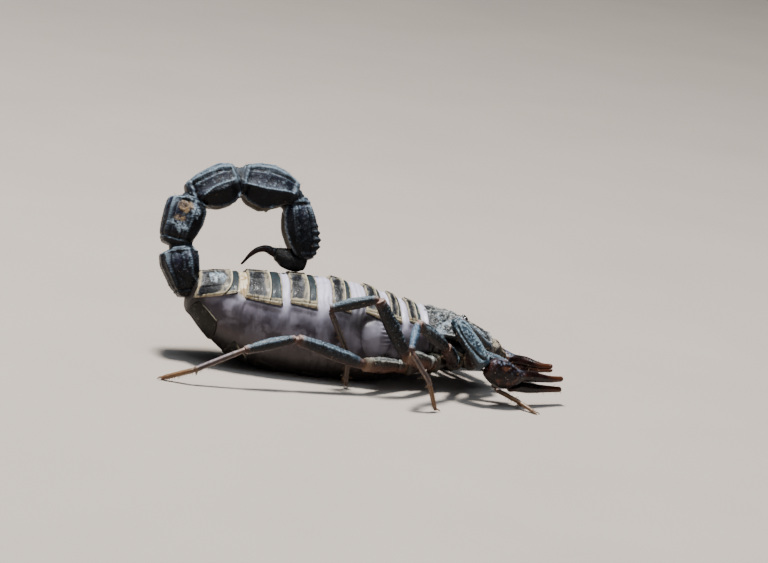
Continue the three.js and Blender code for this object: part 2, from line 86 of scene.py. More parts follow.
def clamp(x):
    return np.clip(x, 0, 1)


def ease(a, b, x):
    """0 at a and 1 at b, smooth between and level beyond."""
    t = clamp((x - a) / (b - a))
    return t * t * (3 - 2 * t)


def window(x, a, b, c, d):
    """1 from b to c, falling to 0 at a and at d."""
    return ease(a, b, x) * ease(d, c, x)


def hump(x, middle, width):
    return np.exp(-(((x - middle) / width) ** 2))


def turned(a, b):
    """Shortest angle from b to a."""
    return (a - b + np.pi) % (2 * np.pi) - np.pi


def rib(turn, at, width):
    """A ridge along both flanks at the angle at from the top, width in radians."""
    return hump(turned(turn, at), 0, width) + hump(turned(turn, -at), 0, width)


def turns_of(count):
    return np.arange(count) * 2 * np.pi / count


def spokes(up, side, turns, high=1.0, wide=1.0):
    """The way out at each turn from each place on a line, as long as high and wide say."""
    upward, sideways = high * np.cos(turns), wide * np.sin(turns)
    return up[:, None] * upward[..., None] + side[:, None] * sideways[..., None]


def blur(table, sigma, axis=0, wrap=False):
    """Gaussian blur along one axis, round the ring or held at the ends."""
    if sigma <= 0:
        return table
    half = max(1, int(3 * sigma))
    weights = np.exp(-0.5 * (np.arange(-half, half + 1) / sigma) ** 2)
    weights /= weights.sum()
    count = table.shape[axis]
    index = np.arange(count)
    out = np.zeros_like(table)
    for shift, weight in zip(range(-half, half + 1), weights):
        moved = (index + shift) % count if wrap else np.clip(index + shift, 0, count - 1)
        out += weight * np.take(table, moved, axis=axis)
    return out


def soften(rings, along, around):
    return blur(blur(rings, along), around, 1, True)


def scramble(cells, seed):
    """One even number from 0 to 1 for each whole-number cell."""
    h = np.full(cells.shape[:-1], (seed * 0x9E3779B1) & 0xFFFFFFFF, np.uint32)
    for k in range(3):
        h ^= (cells[..., k].astype(np.int64) & 0xFFFFFFFF).astype(np.uint32)
        h *= np.uint32(0x85EBCA6B)
        h ^= h >> np.uint32(13)
        h *= np.uint32(0xC2B2AE35)
        h ^= h >> np.uint32(16)
    return h.astype(np.float64) / 2 ** 32


def noise(p, size, seed=0, octaves=1):
    """Smooth value noise from -1 to 1 with features of that size."""
    total, weight = 0, 0
    for octave in range(octaves):
        q = np.asarray(p) / (size / 2 ** octave)
        base = np.floor(q)
        f = q - base
        f = f * f * (3 - 2 * f)
        value = 0
        for corner in np.ndindex(2, 2, 2):
            share = np.prod(np.where(corner, f, 1 - f), axis=-1)
            value = value + share * scramble(base + corner, seed + 17 * octave)
        total = total + (2 * value - 1) / 2 ** octave
        weight += 1 / 2 ** octave
    return total / weight


def pebbles(p, size, seed, share):
    """Round grains about that size, each from 0 at its foot to 1, on that share of the cells."""
    q = np.asarray(p) / size
    base = np.floor(q)
    best = np.zeros(q.shape[:-1])
    for offset in np.ndindex(3, 3, 3):
        cell = base + np.array(offset) - 1
        centre = cell + np.stack([scramble(cell, seed + k) for k in range(3)], -1)
        there = scramble(cell, seed + 3)
        radius = 0.35 + 0.3 * scramble(cell, seed + 4)
        gap = np.linalg.norm(q - centre, axis=-1) / radius
        grain = np.sqrt(clamp(1 - gap * gap)) * (there < share)
        best = np.maximum(best, grain * (0.5 + 0.5 * there / share))
    return best


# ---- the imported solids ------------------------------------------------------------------

class Solid:
    """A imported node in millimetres: its points, an even spread over its skin, and a ray tree."""

    def __init__(self, name):
        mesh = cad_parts[name].data
        mesh.calc_loop_triangles()
        points = np.empty(3 * len(mesh.vertices), np.float32)
        mesh.vertices.foreach_get("co", points)
        faces = np.empty(3 * len(mesh.loop_triangles), np.int32)
        mesh.loop_triangles.foreach_get("vertices", faces)
        self.points = (points.reshape(-1, 3) / MM).astype(float)
        self.faces = faces.reshape(-1, 3)
        self.tree = BVHTree.FromPolygons(self.points.tolist(), self.faces.tolist())
        self.samples = self.spread(0.3)
        self.low, self.high = self.points.min(0), self.points.max(0)

    def spread(self, spacing):
        a, b, c = (self.points[self.faces[:, k]] for k in range(3))
        area = np.linalg.norm(np.cross(b - a, c - a), axis=1) / 2
        tri = np.repeat(np.arange(len(area)), np.ceil(area / spacing ** 2).astype(int))
        u, v = (np.arange(len(tri)) * step % 1 for step in SCATTER)
        over = u + v > 1
        u, v = np.where(over, 1 - u, u)[:, None], np.where(over, 1 - v, v)[:, None]
        return a[tri] + u * (b - a)[tri] + v * (c - a)[tri]

    def hit(self, start, direction, reach):
        """Distance along the ray to the skin, or nan."""
        found = self.tree.ray_cast(Vector(start), Vector(direction), reach)
        return math.nan if found[0] is None else found[3]

    def heights(self, x, y):
        """Lowest and highest point of the skin over a place on the floor."""
        low = self.hit((x, y, -SKY), (0, 0, 1), 2 * SKY) - SKY
        high = SKY - self.hit((x, y, SKY), (0, 0, -1), 2 * SKY)
        return low, high


@lru_cache(None)
def cad(name):
    return Solid(name)


def meeting(a, b):
    """Middle of the face where solid b fits against solid a."""
    tree = cad(a).tree
    near = [p for p in cad(b).samples if tree.find_nearest(Vector(p), SEAM)[0] is not None]
    return np.mean(near, axis=0)


def meetings(names):
    return [meeting(a, b) for a, b in zip(names, names[1:])]


def between(knots, points, at):
    """Places on the bent line through the points at its knots."""
    return np.stack([np.interp(at, knots, points[:, k]) for k in range(3)], -1)


def spine(solid, start, bins):
    """Smooth line through the middle of a long solid, from start to its far tip."""
    away = np.linalg.norm(solid.samples - start, axis=1)
    edges = np.linspace(0, away.max(), bins + 1)
    tip = solid.samples[away > edges[-1] - 0.15].mean(0)
    middle = [
        solid.samples[(away >= a) & (away < b)].mean(0)
        for a, b in zip(edges[1:-2], edges[2:-1])
    ]
    line = np.array([start, *middle, tip])
    fine = np.linspace(0, 1, 49)
    line = between(np.linspace(0, 1, len(line)), line, fine)
    return line + (blur(line, 3) - line) * window(fine, 0, 0.1, 0.9, 1)[:, None]


class Line:
    """Centre line with a steady up direction."""

    def __init__(self, points, up):
        self.points = np.asarray(points, float)
        steps = np.linalg.norm(np.diff(self.points, axis=0), axis=1)
        self.knots = np.concatenate([[0], np.cumsum(steps)])
        self.length = self.knots[-1]
        self.up = unit(up)

    def place(self, s):
        return between(self.knots, self.points, s)

    def at(self, s):
        """Place and the along, up and side directions at each distance from the start."""
        s = np.atleast_1d(np.asarray(s, float))
        inside = np.clip(s, 0, self.length)
        h = 0.04 * self.length
        ahead = self.place(np.clip(inside + h, 0, self.length))
        behind = self.place(np.clip(inside - h, 0, self.length))
        along = unit(ahead - behind)
        place = self.place(inside) + along * (s - inside)[:, None]
        up = unit(self.up - along * (along @ self.up)[:, None])
        return place, along, up, np.cross(along, up)


# ---- meshes -----------------------------------------------------------------------------

class Form:
    """A closed mesh with values at its points, in millimetres, its faces pointing out."""

    def __init__(self, points, faces, values, turn=True):
        self.points = np.asarray(points, float).reshape(-1, 3)
        self.faces = faces
        self.values = values
        self.uv = None
        if turn and self.volume() < 0:
            self.faces = [f[:, ::-1] for f in faces]

    def volume(self):
        """Six times the volume inside, negative where the faces point in."""
        total = 0
        for f in self.faces:
            for k in range(1, f.shape[1] - 1):
                a, b, c = (self.points[f[:, i]] for i in (0, k, k + 1))
                total += np.einsum("ij,ij->i", a, np.cross(b, c)).sum()
        return total


def grid_faces(rows, columns):
    """Squares between neighbouring rings."""
    r, c = np.meshgrid(np.arange(rows - 1), np.arange(columns), indexing="ij")
    a = r * columns + c
    b = r * columns + (c + 1) % columns
    return np.stack([a, b, b + columns, a + columns], -1).reshape(-1, 4)


def tube(rings, ends, **values):
    """Rings of points, closed by fans to the two end points."""
    rows, columns = rings.shape[:2]
    ring = np.arange(columns)
    after = (ring + 1) % columns
    base = (rows - 1) * columns
    first = np.full(columns, rows * columns)
    near = np.stack([first, after, ring], -1)
    far = np.stack([first + 1, base + ring, base + after], -1)
    shown = {}
    for key, value in values.items():
        value = np.broadcast_to(np.asarray(value, float), (rows, columns))
        shown[key] = np.concatenate([value.ravel(), [value[0].mean(), value[-1].mean()]])
    points = np.concatenate([rings.reshape(-1, 3), ends])
    return Form(points, [grid_faces(rows, columns), np.concatenate([near, far])], shown)


def slab(top, under, values):
    """A curved sheet between two grids of points, closed round its rim."""
    rows, columns = top.shape[:2]
    count = 2 * columns
    near = np.arange(columns - 1)
    cap = np.stack([near, near + 1, count - 2 - near, count - 1 - near], -1)
    faces = [grid_faces(rows, count), cap[:, ::-1], cap + (rows - 1) * count]
    both = {k: np.concatenate([v, v[:, ::-1]], axis=1).ravel() for k, v in values.items()}
    return Form(np.concatenate([top, under[:, ::-1]], axis=1), [np.concatenate(faces)], both)


def sheet_grid(rows, columns):
    """Share of the way along, from 0 to 1, and across, from -1 to 1, at each point of a sheet."""
    return np.meshgrid(np.linspace(0, 1, rows), np.linspace(-1, 1, columns), indexing="ij")


def joined(forms):
    """Several forms as one, with every value that any of them has."""
    keys = sorted({k for form in forms for k in form.values})
    points = np.concatenate([form.points for form in forms])
    starts = np.cumsum([0] + [len(form.points) for form in forms])
    by_size = defaultdict(list)
    for form, start in zip(forms, starts):
        for f in form.faces:
            by_size[f.shape[1]].append(f + start)
    values = {
        k: np.concatenate([form.values.get(k, np.zeros(len(form.points))) for form in forms])
        for k in keys
    }
    whole = Form(points, [np.concatenate(f) for f in by_size.values()], values, turn=False)
    if all(form.uv is not None for form in forms):
        whole.uv = np.concatenate([form.uv for form in forms])
    return whole


def gathered(index, amounts, count):
    """Sum of the amounts that fall on each point."""
    return np.stack([np.bincount(index, amounts[:, k], count) for k in range(3)], -1)


def weathering(points, faces):
    """How far each point faces up, and how far it stands out of or sinks into what is round it."""
    count = len(points)
    normal = np.zeros((count, 3))
    starts, ends = [], []
    for f in faces:
        area = np.cross(points[f[:, 2]] - points[f[:, 0]], points[f[:, -1]] - points[f[:, 1]])
        for k in range(f.shape[1]):
            normal += gathered(f[:, k], area, count)
            starts += [f[:, k], f[:, k - 1]]
            ends += [f[:, k - 1], f[:, k]]
    normal = unit(normal)
    starts, ends = np.concatenate(starts), np.concatenate(ends)
    links = np.maximum(np.bincount(starts, minlength=count), 1)[:, None]
    smooth = points
    for _ in range(WEATHER_STEPS):
        smooth = 0.5 * smooth + 0.5 * gathered(starts, smooth[ends], count) / links
    relief = ((points - smooth) * normal).sum(-1)
    return {"sky": normal[:, 2], "crest": ease(0.014, 0.05, relief), "recess_shade": ease(0.01, 0.05, -relief)}


def piece(name, form, slot, kind, *nodes):
    """Writes a form as one Blender mesh that rides on the body and stands for the nodes."""
    points = form.points.copy()
    points[:, 2] = np.maximum(points[:, 2], FLOOR_CLEARANCE)
    sizes = np.concatenate([np.full(len(f), f.shape[1]) for f in form.faces])
    corners = np.concatenate([f.ravel() for f in form.faces]).astype(np.int32)
    starts = np.concatenate([[0], np.cumsum(sizes)[:-1]]).astype(np.int32)
    mesh = bpy.data.meshes.new(name)
    mesh.vertices.add(len(points))
    mesh.vertices.foreach_set("co", (points * MM).astype(np.float32).ravel())
    mesh.loops.add(len(corners))
    mesh.loops.foreach_set("vertex_index", corners)
    mesh.polygons.add(len(sizes))
    mesh.polygons.foreach_set("loop_start", starts)
    mesh.update(calc_edges=True)
    mesh.polygons.foreach_set("use_smooth", np.ones(len(sizes), bool))
    for key, value in {**weathering(points, form.faces), **form.values}.items():
        layer = mesh.attributes.new(key, "FLOAT", "POINT")
        layer.data.foreach_set("value", np.ascontiguousarray(value, np.float32))
    if form.uv is not None:
        layer = mesh.uv_layers.new(name="OFBake")
        layer.data.foreach_set("uv", form.uv[corners].astype(np.float32).ravel())
    mesh.materials.append(PAINTS[kind])
    made = bpy.data.objects.new(name, mesh)
    bpy.context.scene.collection.objects.link(made)
    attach(made, "root")
    if nodes:
        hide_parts(*nodes)


def radius_table(solid, line, s, columns, reach):
    """Distance from the line out to the solid's skin, by station and by turn round it."""
    place, _, up, side = line.at(s)
    out = spokes(up, side, turns_of(columns))
    table = np.empty(out.shape[:2])
    for i, j in np.ndindex(table.shape):
        table[i, j] = reach - solid.hit(place[i] + out[i, j] * reach, -out[i, j], reach)
    for row in table:
        lost = np.isnan(row)
        if lost.any() and not lost.all():
            known = np.flatnonzero(~lost)
            row[lost] = np.interp(np.flatnonzero(lost), known, row[known], period=columns)
    lost = np.isnan(table[:, 0])
    known = np.flatnonzero(~lost)
    for i in np.flatnonzero(lost):
        table[i] = table[known[np.abs(known - i).argmin()]]
    return table


class Skin:
    """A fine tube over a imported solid: rings along a line, turn 0 on top."""

    def __init__(self, solid, line, reach, spacing, span=None, margin=0.3, caps=(0.5, 0.5),
                 stations=24, columns=48, blurs=(0.8, 0.8)):
        if span is None:
            run = (solid.points - line.points[0]) @ unit(line.points[-1] - line.points[0])
            s = np.linspace(run.min() + margin, run.max() - margin, stations)
        else:
            s = np.linspace(*span, stations) * line.length
        table = soften(radius_table(solid, line, s, columns, reach), *blurs)
        self.line, self.stations, self.caps, self.table = line, s, caps, table
        around = max(16, int(2 * np.pi * table.mean() / spacing))
        rows = max(8, int((s[-1] - s[0]) / spacing))
        bend = np.linspace(0, np.pi / 2, CAP_RINGS + 2)[1:-1]
        first = s[0] - caps[0] * np.sin(bend[::-1])
        last = s[-1] + caps[1] * np.sin(bend)
        self.s = np.concatenate([first, np.linspace(s[0], s[-1], rows), last])
        shrink = np.concatenate([np.cos(bend[::-1]), np.ones(rows), np.cos(bend)])
        turns = turns_of(around)
        ones = np.ones((len(self.s), around))
        radius = self.radius_at(self.s[:, None] * ones, turns * ones)
        self.full = soften(radius, 0.6 * rows / stations, 0.6 * around / columns)
        self.shrink = shrink[:, None] * ones
        self.radius = self.full * self.shrink
        self.turn = turned(turns, 0) * ones
        self.t = clamp((self.s - s[0]) / (s[-1] - s[0]))[:, None] * ones
        self.mm = self.s[:, None] * ones
        self.centre, self.along, up, side = line.at(self.s)
        self.out = spokes(up, side, turns)
        self.base = self.centre[:, None] + self.out * self.radius[..., None]

    def radius_at(self, s, turn):
        """Radius of the solid at any distance along and turn."""
        stations, columns = self.table.shape
        row = np.interp(s, self.stations, np.arange(stations))
        column = (turn / (2 * np.pi) * columns) % columns
        i = np.clip(np.floor(row).astype(int), 0, stations - 2)
        j = np.floor(column).astype(int) % columns
        u, v = row - i, column - np.floor(column)
        after = (j + 1) % columns
        near = self.table[i, j] * (1 - v) + self.table[i, after] * v
        far = self.table[i + 1, j] * (1 - v) + self.table[i + 1, after] * v
        return near * (1 - u) + far * u

    def surface(self, s, turn):
        """Places on the skin, and the way out there, at any distance along and turn."""
        place, _, up, side = (v.reshape(s.shape + (3,)) for v in self.line.at(s.ravel()))
        out = up * np.cos(turn)[..., None] + side * np.sin(turn)[..., None]
        return place + out * self.radius_at(s, turn)[..., None], out

    def form(self, height=0.0, **values):
        """The tube with relief of that height in millimetres."""
        points = self.base + self.out * (height * np.sqrt(self.shrink))[..., None]
        ends = self.stations[[0, -1]] + (-self.caps[0], self.caps[1])
        return tube(points, self.line.at(ends)[0], **values)


def horn(points, radii, sides=8, steps=12, **values):
    """A small tapering spike, claw or hair along a bent line."""
    line = Line(points, (0, 0, 1))
    t = np.linspace(0, 1, steps)
    place = blur(line.place(t * line.length), 1.0)
    place[0], place[-1] = points[0], points[-1]
    _, _, up, side = line.at(t * line.length)
    wide = np.interp(t, np.linspace(0, 1, len(radii)), radii)[:, None]
    rings = place[:, None] + spokes(up, side, turns_of(sides), wide, wide)
    return tube(rings, place[[0, -1]], **values)


def ball(centre, radii, rows, columns, axis=(0, 0, 1)):
    """A round bead or lens; the first radius lies along the axis."""
    axis = unit(axis)
    reach = axis * radii[0]
    line = Line([centre - reach, centre + reach], (0.31, 0.17, 0.9) if abs(axis[2]) < 0.9 else (1, 0.1, 0))
    bend = np.linspace(0, np.pi, rows + 2)[1:-1]
    place, _, up, side = line.at(radii[0] * (1 - np.cos(bend)))
    size = np.sin(bend)[:, None]
    rings = place[:, None] + spokes(up, side, turns_of(columns), radii[1] * size, radii[-1] * size)
    return tube(rings, line.points)


# ---- camera and light -------------------------------------------------------------------

AZIMUTH, ELEVATION, ROLL = (math.radians(angle) for angle in (-10, 12, 8))
AIM_SHARE = np.array([0.5513, 0.3998, 0.4833])   # what the camera looks at, in shares of the box
CAMERA_DISTANCE = 9.27                           # in lengths of the box
LAMPS = {                 # place and size in metres, power, colour
    "key": ((-0.08, 0.03, 0.6), 0.1, 11.0, (1.0, 0.97, 0.93)),
    "sky": ((0.0, -0.15, 0.9), 0.9, 6.5, (0.72, 0.85, 1.0)),
    "fill": ((0.1, -0.7, 0.35), 0.3, 0.5, (0.9, 0.94, 1.0)),
}
FLOOR_REACH = 3.0         # metres


def add_camera():
    """Low view of the animal's right side, a little from behind, with the head end lower."""
    back = np.array([
        math.sin(AZIMUTH) * math.cos(ELEVATION),
        -math.cos(AZIMUTH) * math.cos(ELEVATION),
        math.sin(ELEVATION),
    ])
    level = unit(np.cross(-back, (0, 0, 1)))
    upright = np.cross(level, -back)
    right = level * math.cos(ROLL) + upright * math.sin(ROLL)
    up = upright * math.cos(ROLL) - level * math.sin(ROLL)
    place = (CAD_LOW + CAD_SIZE * AIM_SHARE + back * CAMERA_DISTANCE * CAD_SIZE[0]) * MM
    camera = bpy.data.objects.new("camera", bpy.data.cameras.new("camera"))
    camera.data.lens = 180
    camera.data.sensor_width = 36
    camera.data.clip_start = 0.01
    camera.data.clip_end = 20
    camera.matrix_world = [[*v, 0] for v in (right, up, back)] + [[*place, 1]]
    bpy.context.scene.collection.objects.link(camera)
    bpy.context.scene.camera = camera


def add_studio():
    world = bpy.data.worlds.new("studio")
    bpy.context.scene.world = world
    world.use_nodes = True
    background = world.node_tree.nodes["Background"]
    background.inputs["Color"].default_value = (0.62, 0.74, 0.92, 1)
    background.inputs["Strength"].default_value = 0.05
    for name, (place, size, power, colour) in LAMPS.items():
        lamp = bpy.data.objects.new(name, bpy.data.lights.new(name, "AREA"))
        lamp.data.shape = "DISK"
        lamp.data.size = size
        lamp.data.energy = power
        lamp.data.color = colour
        lamp.location = place
        lamp.rotation_mode = "QUATERNION"
        lamp.rotation_quaternion = (-Vector(place)).to_track_quat("-Z", "Y")
        bpy.context.scene.collection.objects.link(lamp)
    mesh = bpy.data.meshes.new("floor")
    corners = [(x * FLOOR_REACH, y * FLOOR_REACH, 0) for x, y in ((-1, -1), (1, -1), (1, 1), (-1, 1))]
    mesh.from_pydata(corners, [], [(0, 1, 2, 3)])
    floor = bpy.data.objects.new("floor", mesh)
    paint = Paint("floor_pale", 0.75)
    paint.base = paint.mix(paint.noise(30, 2), (152, 142, 133), (162, 151, 141))
    mesh.materials.append(paint.done())
    bpy.context.scene.collection.objects.link(floor)
    floor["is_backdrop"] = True


# ---- materials --------------------------------------------------------------------------

def tint(*levels):
    """Linear colour of one written from 0 to 255."""
    return tuple(((c / 255 + 0.055) / 1.055) ** 2.4 if c > 10 else c / 3294 for c in levels) + (1,)


class Paint:
    """A procedural material built up in layers.

    Sizes are in millimetres and colours from 0 to 255. A factor is a number, a socket, or the
    name of a value that the mesh carries at its points.
    """

    def __init__(self, name, roughness, specular=0.5, coat=0.0, soft=0.0):
        self.material = bpy.data.materials.new(name)
        self.material.use_nodes = True
        self.tree = self.material.node_tree
        self.shader = self.tree.nodes["Principled BSDF"]
        self.set("Roughness", roughness)
        self.set("Specular IOR Level", specular)
        self.set("Coat Weight", coat)
        self.set("Coat Roughness", 0.12)
        if soft:
            self.set("Subsurface Weight", soft)
            self.set("Subsurface Radius", (1.0, 0.55, 0.5))
            self.set("Subsurface Scale", 0.6 * MM)
        self.where = self.tree.nodes.new("ShaderNodeTexCoord").outputs["Object"]

    def set(self, socket, value):
        self.plug(value, self.shader.inputs[socket])

    def plug(self, value, socket):
        if isinstance(value, str):
            value = self.node("Attribute", "Fac", {}, attribute_name=value)
        if isinstance(value, bpy.types.NodeSocket):
            self.tree.links.new(value, socket)
        else:
            socket.default_value = tint(*value) if socket.type == "RGBA" else value

    def node(self, kind, output, inputs, **settings):
        made = self.tree.nodes.new("ShaderNode" + kind)
        for key, value in settings.items():
            setattr(made, key, value)
        for key, value in inputs.items():
            self.plug(value, made.inputs[key])
        return made.outputs[output]

    def noise(self, size, detail=3, stretch=None, warp=0.0):
        where = self.where
        if stretch:
            where = self.node("Mapping", "Vector", {"Vector": where, "Scale": stretch})
        return self.node("TexNoise", "Fac", {
            "Vector": where, "Scale": 1 / (size * MM), "Detail": detail, "Distortion": warp,
        })

    def cells(self, size):
        return self.node("TexVoronoi", "Distance", {"Vector": self.where, "Scale": 1 / (size * MM)})

    def maths(self, operation, a, b):
        return self.node("Math", 0, {0: a, 1: b}, operation=operation, use_clamp=True)

    def both(self, a, b):
        return self.maths("MULTIPLY", a, b)

    def span(self, value, low, high, to=1.0, start=0.0):
        """start below low, to above high, smooth between."""
        return self.node("MapRange", "Result", {
            "Value": value, "From Min": low, "From Max": high, "To Min": start, "To Max": to,
        }, interpolation_type="SMOOTHSTEP")

    def mix(self, factor, a, b):
        return self.node("Mix", 2, {0: factor, 6: a, 7: b}, data_type="RGBA")

    def lay(self, factor, colour):
        """Puts a colour over the layers so far."""
        self.base = self.mix(factor, self.base, colour)

    def vary(self, cloud, rough, smooth):
        """Roughness that follows the clouds."""
        self.set("Roughness", self.span(cloud, 0.3, 0.7, rough, smooth))

    def done(self, *layers):
        """Sets the colour and the relief, from (height, depth in millimetres) pairs."""
        self.set("Base Color", self.base)
        normal = {}
        for height, depth in layers:
            inputs = {"Height": height, "Distance": depth * MM, "Strength": 1.0, **normal}
            normal = {"Normal": self.node("Bump", "Normal", inputs)}
        for socket, value in normal.items():
            self.set(socket, value)
        return self.material


def cuticle(name, dark, bloom, edge, under, joint, lit, sunlit_joint=None, roughness=0.34, grain=0.16,
            shine=0.36, patch=1.6):
    """Horny shell: cloudy blue-grey bloom, with a painted highlight on faces turned up, painted shade on
    faces turned down and in pits, painted glints, and pale keels that are partly worn and partly painted
    highlight.
    """
    paint = Paint(name, roughness, shine, coat=0.03)
    cloud = paint.noise(patch, 4)
    fine = paint.noise(0.22)
    paint.base = paint.mix(paint.span(cloud, 0.38, 0.7), dark, bloom)
    # painted shade on faces turned down
    paint.lay(paint.span("sky", -0.45, 0.15, 0.0, 0.75), (13, 10, 9))
    # painted highlight: the lit colour on faces turned up
    paint.lay(paint.both(paint.span("sky", 0.05, 0.9), paint.span(cloud, 0.3, 0.62, 0.95, 0.3)), lit)
    paint.lay(paint.both("under", paint.span(cloud, 0.2, 0.6)), under)
    # dark tone and shade: parts that are really dark, and painted shade on undersides, hollows and shaded
    # feet
    paint.lay(paint.both("gloom", 0.88), (7, 7, 9))
    # painted glints: pale flecks, most on faces turned up and on the darkest parts
    glint_weight = paint.both(paint.span("sky", 0.0, 0.8, 0.5, 0.05), paint.span("gloom", 0.0, 1.0, 0.12, 1.0))
    glint_flecks = paint.both(paint.span(fine, 0.6, 0.78), paint.maths("ADD", glint_weight, "spark"))
    paint.lay(glint_flecks, edge)
    # painted shade in pits and grooves
    paint.lay(paint.both("recess_shade", 0.9), (6, 6, 8))
    # painted highlight: joints turn paler where they face up
    if sunlit_joint:
        joint = paint.mix(paint.span("sky", 0.1, 0.75), joint, sunlit_joint)
    paint.lay("joint", joint)
    # keels and rims: partly worn pale, partly painted highlight where they face up
    worn_and_lit = paint.both("ridge", paint.span(paint.noise(0.4), 0.34, 0.6, 0.95, 0.12))
    paint.lay(paint.both(worn_and_lit, paint.span("sky", -0.1, 0.75, 1.0, 0.07)), edge)
    # painted highlight on raised points that face up
    high = paint.both("crest", paint.span("sky", 0.0, 0.8, 0.5, 0.04))
    paint.lay(paint.both(high, paint.span("gloom", 0.0, 1.0, 0.2, 1.0)), edge)
    # pale marks: scratches and chalky patches, and painted glints on the dull knees
    paint.lay(paint.both("scuff", paint.span(paint.noise(0.35), 0.36, 0.56)), (128, 142, 154))
    dust = paint.mix(paint.span(paint.noise(0.8), 0.4, 0.6), (56, 40, 27), (124, 104, 78))
    paint.lay(paint.both("dirt", paint.span(fine, 0.3, 0.52)), dust)
    paint.vary(cloud, roughness * 1.3, roughness * 0.7)
    return paint.done((paint.cells(grain), -0.06), (fine, 0.04))


def membrane_paint():
    """Stretched skin of the flanks: lilac grey, paler between the plates, with painted light on the bulge,
    painted shade in its folds and hollows, a painted leg shadow, and painted shade darker towards the
    belly.
    """
    paint = Paint("membrane", 0.42, 0.38, coat=0.04, soft=0.08)
    cloud = paint.noise(5.0, 4, warp=0.4)
    streak = paint.noise(1.1, 3, (1.6, 0.35, 0.35), 0.4)
    paint.base = paint.mix(paint.span(cloud, 0.36, 0.6), (70, 65, 76), (108, 103, 114))
    paint.lay(paint.span(streak, 0.5, 0.72, 0.35), (122, 116, 128))
    spots = paint.span(paint.noise(3.0, warp=0.3), 0.4, 0.56, 0.9)
    paint.lay(paint.both("flank", spots), (36, 26, 37))
    # pale: bare bands between plates, and painted light on the bulge and its wrinkles
    paint.lay(paint.both("pale", paint.span(paint.noise(1.5), 0.22, 0.5, 1.0, 0.55)), (180, 176, 195))
    butter = paint.mix(paint.span(paint.noise(1.1, 4), 0.5, 0.62), (190, 176, 150), (140, 112, 70))
    paint.lay("butter", butter)
    # painted shade low on the flank
    paint.lay("low", (56, 47, 45))
    # fold: painted shade in creases and hollows, a painted leg shadow, and the dark tail base
    paint.lay("fold", (32, 27, 31))
    # painted shade in pits
    paint.lay(paint.both("recess_shade", 0.6), (48, 40, 46))
    # painted shade along the belly, and the dark tail base
    paint.lay("belly", (20, 16, 14))
    paint.vary(cloud, 0.56, 0.42)
    return paint.done((streak, 0.08), (paint.noise(0.16), 0.02))


def plate_paint(name, middle, dusk, ahead, pale, spot, shine):
    """Dorsal plates: mottled slate centre, darker fore-plate, cream rims and ochre specks, with painted
    shade in the creases and pits.
    """
    paint = Paint(name, 0.5, shine, coat=0.03)
    cloud = paint.noise(0.9, 4, (1.5, 0.6, 0.6), 0.5)
    scuff = paint.noise(0.5, 3, (1, 0.6, 0.6), 0.6)
    paint.base = paint.mix(paint.span(cloud, 0.42, 0.58), middle, dusk)
    paint.lay(paint.span(scuff, 0.58, 0.74, 0.45), (100, 98, 92))
    paint.lay(paint.both("blot", paint.span(scuff, 0.3, 0.5, 1.0, 0.6)), (9, 10, 13))
    # painted shade in pits
    paint.lay(paint.both("recess_shade", 0.8), (18, 18, 21))
    shade = paint.mix(0.55, ahead, (12, 14, 18))
    paint.lay("ahead", paint.mix(paint.span(cloud, 0.4, 0.6), ahead, shade))
    paint.lay(paint.both("margin", paint.span(cloud, 0.28, 0.55)), pale)
    paint.lay(paint.both("margin", paint.span(paint.noise(0.8, 2), 0.6, 0.7, 0.6)), spot)
    paint.lay("line", (196, 183, 154))
    paint.lay("scar", paint.mix(paint.span(scuff, 0.42, 0.62), (84, 98, 108), (158, 170, 176)))
    # painted shade in the crease under the hem
    paint.lay("crease", (22, 18, 17))
    paint.vary(cloud, 0.62, 0.44)
    return paint.done((paint.cells(0.14), -0.03), (scuff, 0.04))


def finger_paint():
    """Pincers: maroon-black hand with a painted blue-white highlight on top, rust-brown finger tips."""
    paint = Paint("finger", 0.34, 0.17, coat=0.02)
    cloud = paint.noise(1.5, 4)
    grit = paint.noise(0.45, 4)
    paint.base = paint.mix(paint.span(cloud, 0.42, 0.66), (12, 5, 5), (31, 13, 11))
    paint.lay(paint.both("palm", paint.span(cloud, 0.54, 0.66, 0.75)), (82, 52, 38))
    paint.lay("rust", (66, 36, 21))
    # painted highlight on the top of the hand
    top = paint.both(paint.span("sky", 0.5, 0.98), "palm")
    paint.lay(paint.both(top, paint.span(grit, 0.48, 0.62, 0.6)), (88, 96, 114))
    paint.lay("joint", (44, 22, 16))
    # keels: partly worn pale, partly painted highlight where they face up
    worn_and_lit = paint.both("ridge", paint.span(grit, 0.3, 0.55, 1.0, 0.3))
    paint.lay(paint.both(worn_and_lit, paint.span("sky", 0.1, 0.8, 1.0, 0.1)), (126, 134, 154))
    # painted shade in pits
    paint.lay(paint.both("recess_shade", 0.85), (8, 5, 5))
    paint.vary(cloud, 0.4, 0.24)
    return paint.done((paint.cells(0.2), -0.03), (grit, 0.015))


def tarsus_paint():
    """Feet: purple-brown with a painted highlight above, ochre towards the claws, painted shade on the
    third pair.
    """
    paint = Paint("tarsus", 0.42, 0.38, coat=0.05)
    cloud = paint.noise(0.9, 4)
    paint.base = paint.mix(paint.span(cloud, 0.35, 0.65), (28, 20, 23), (58, 44, 48))
    # painted highlight on faces turned up
    paint.lay(paint.span("sky", 0.45, 0.98, 0.6), (124, 116, 130))
    paint.lay(paint.both("under", 0.8), (66, 36, 24))
    # painted shade on the third legs' feet
    paint.lay(paint.both("gloom", 0.75), (15, 10, 11))
    paint.lay("toe", paint.mix(cloud, (54, 33, 16), (122, 84, 42)))
    paint.lay("joint", (78, 44, 30))
    paint.lay(paint.both("crest", 0.4), (150, 130, 110))
    return paint.done((paint.noise(0.18), 0.03))


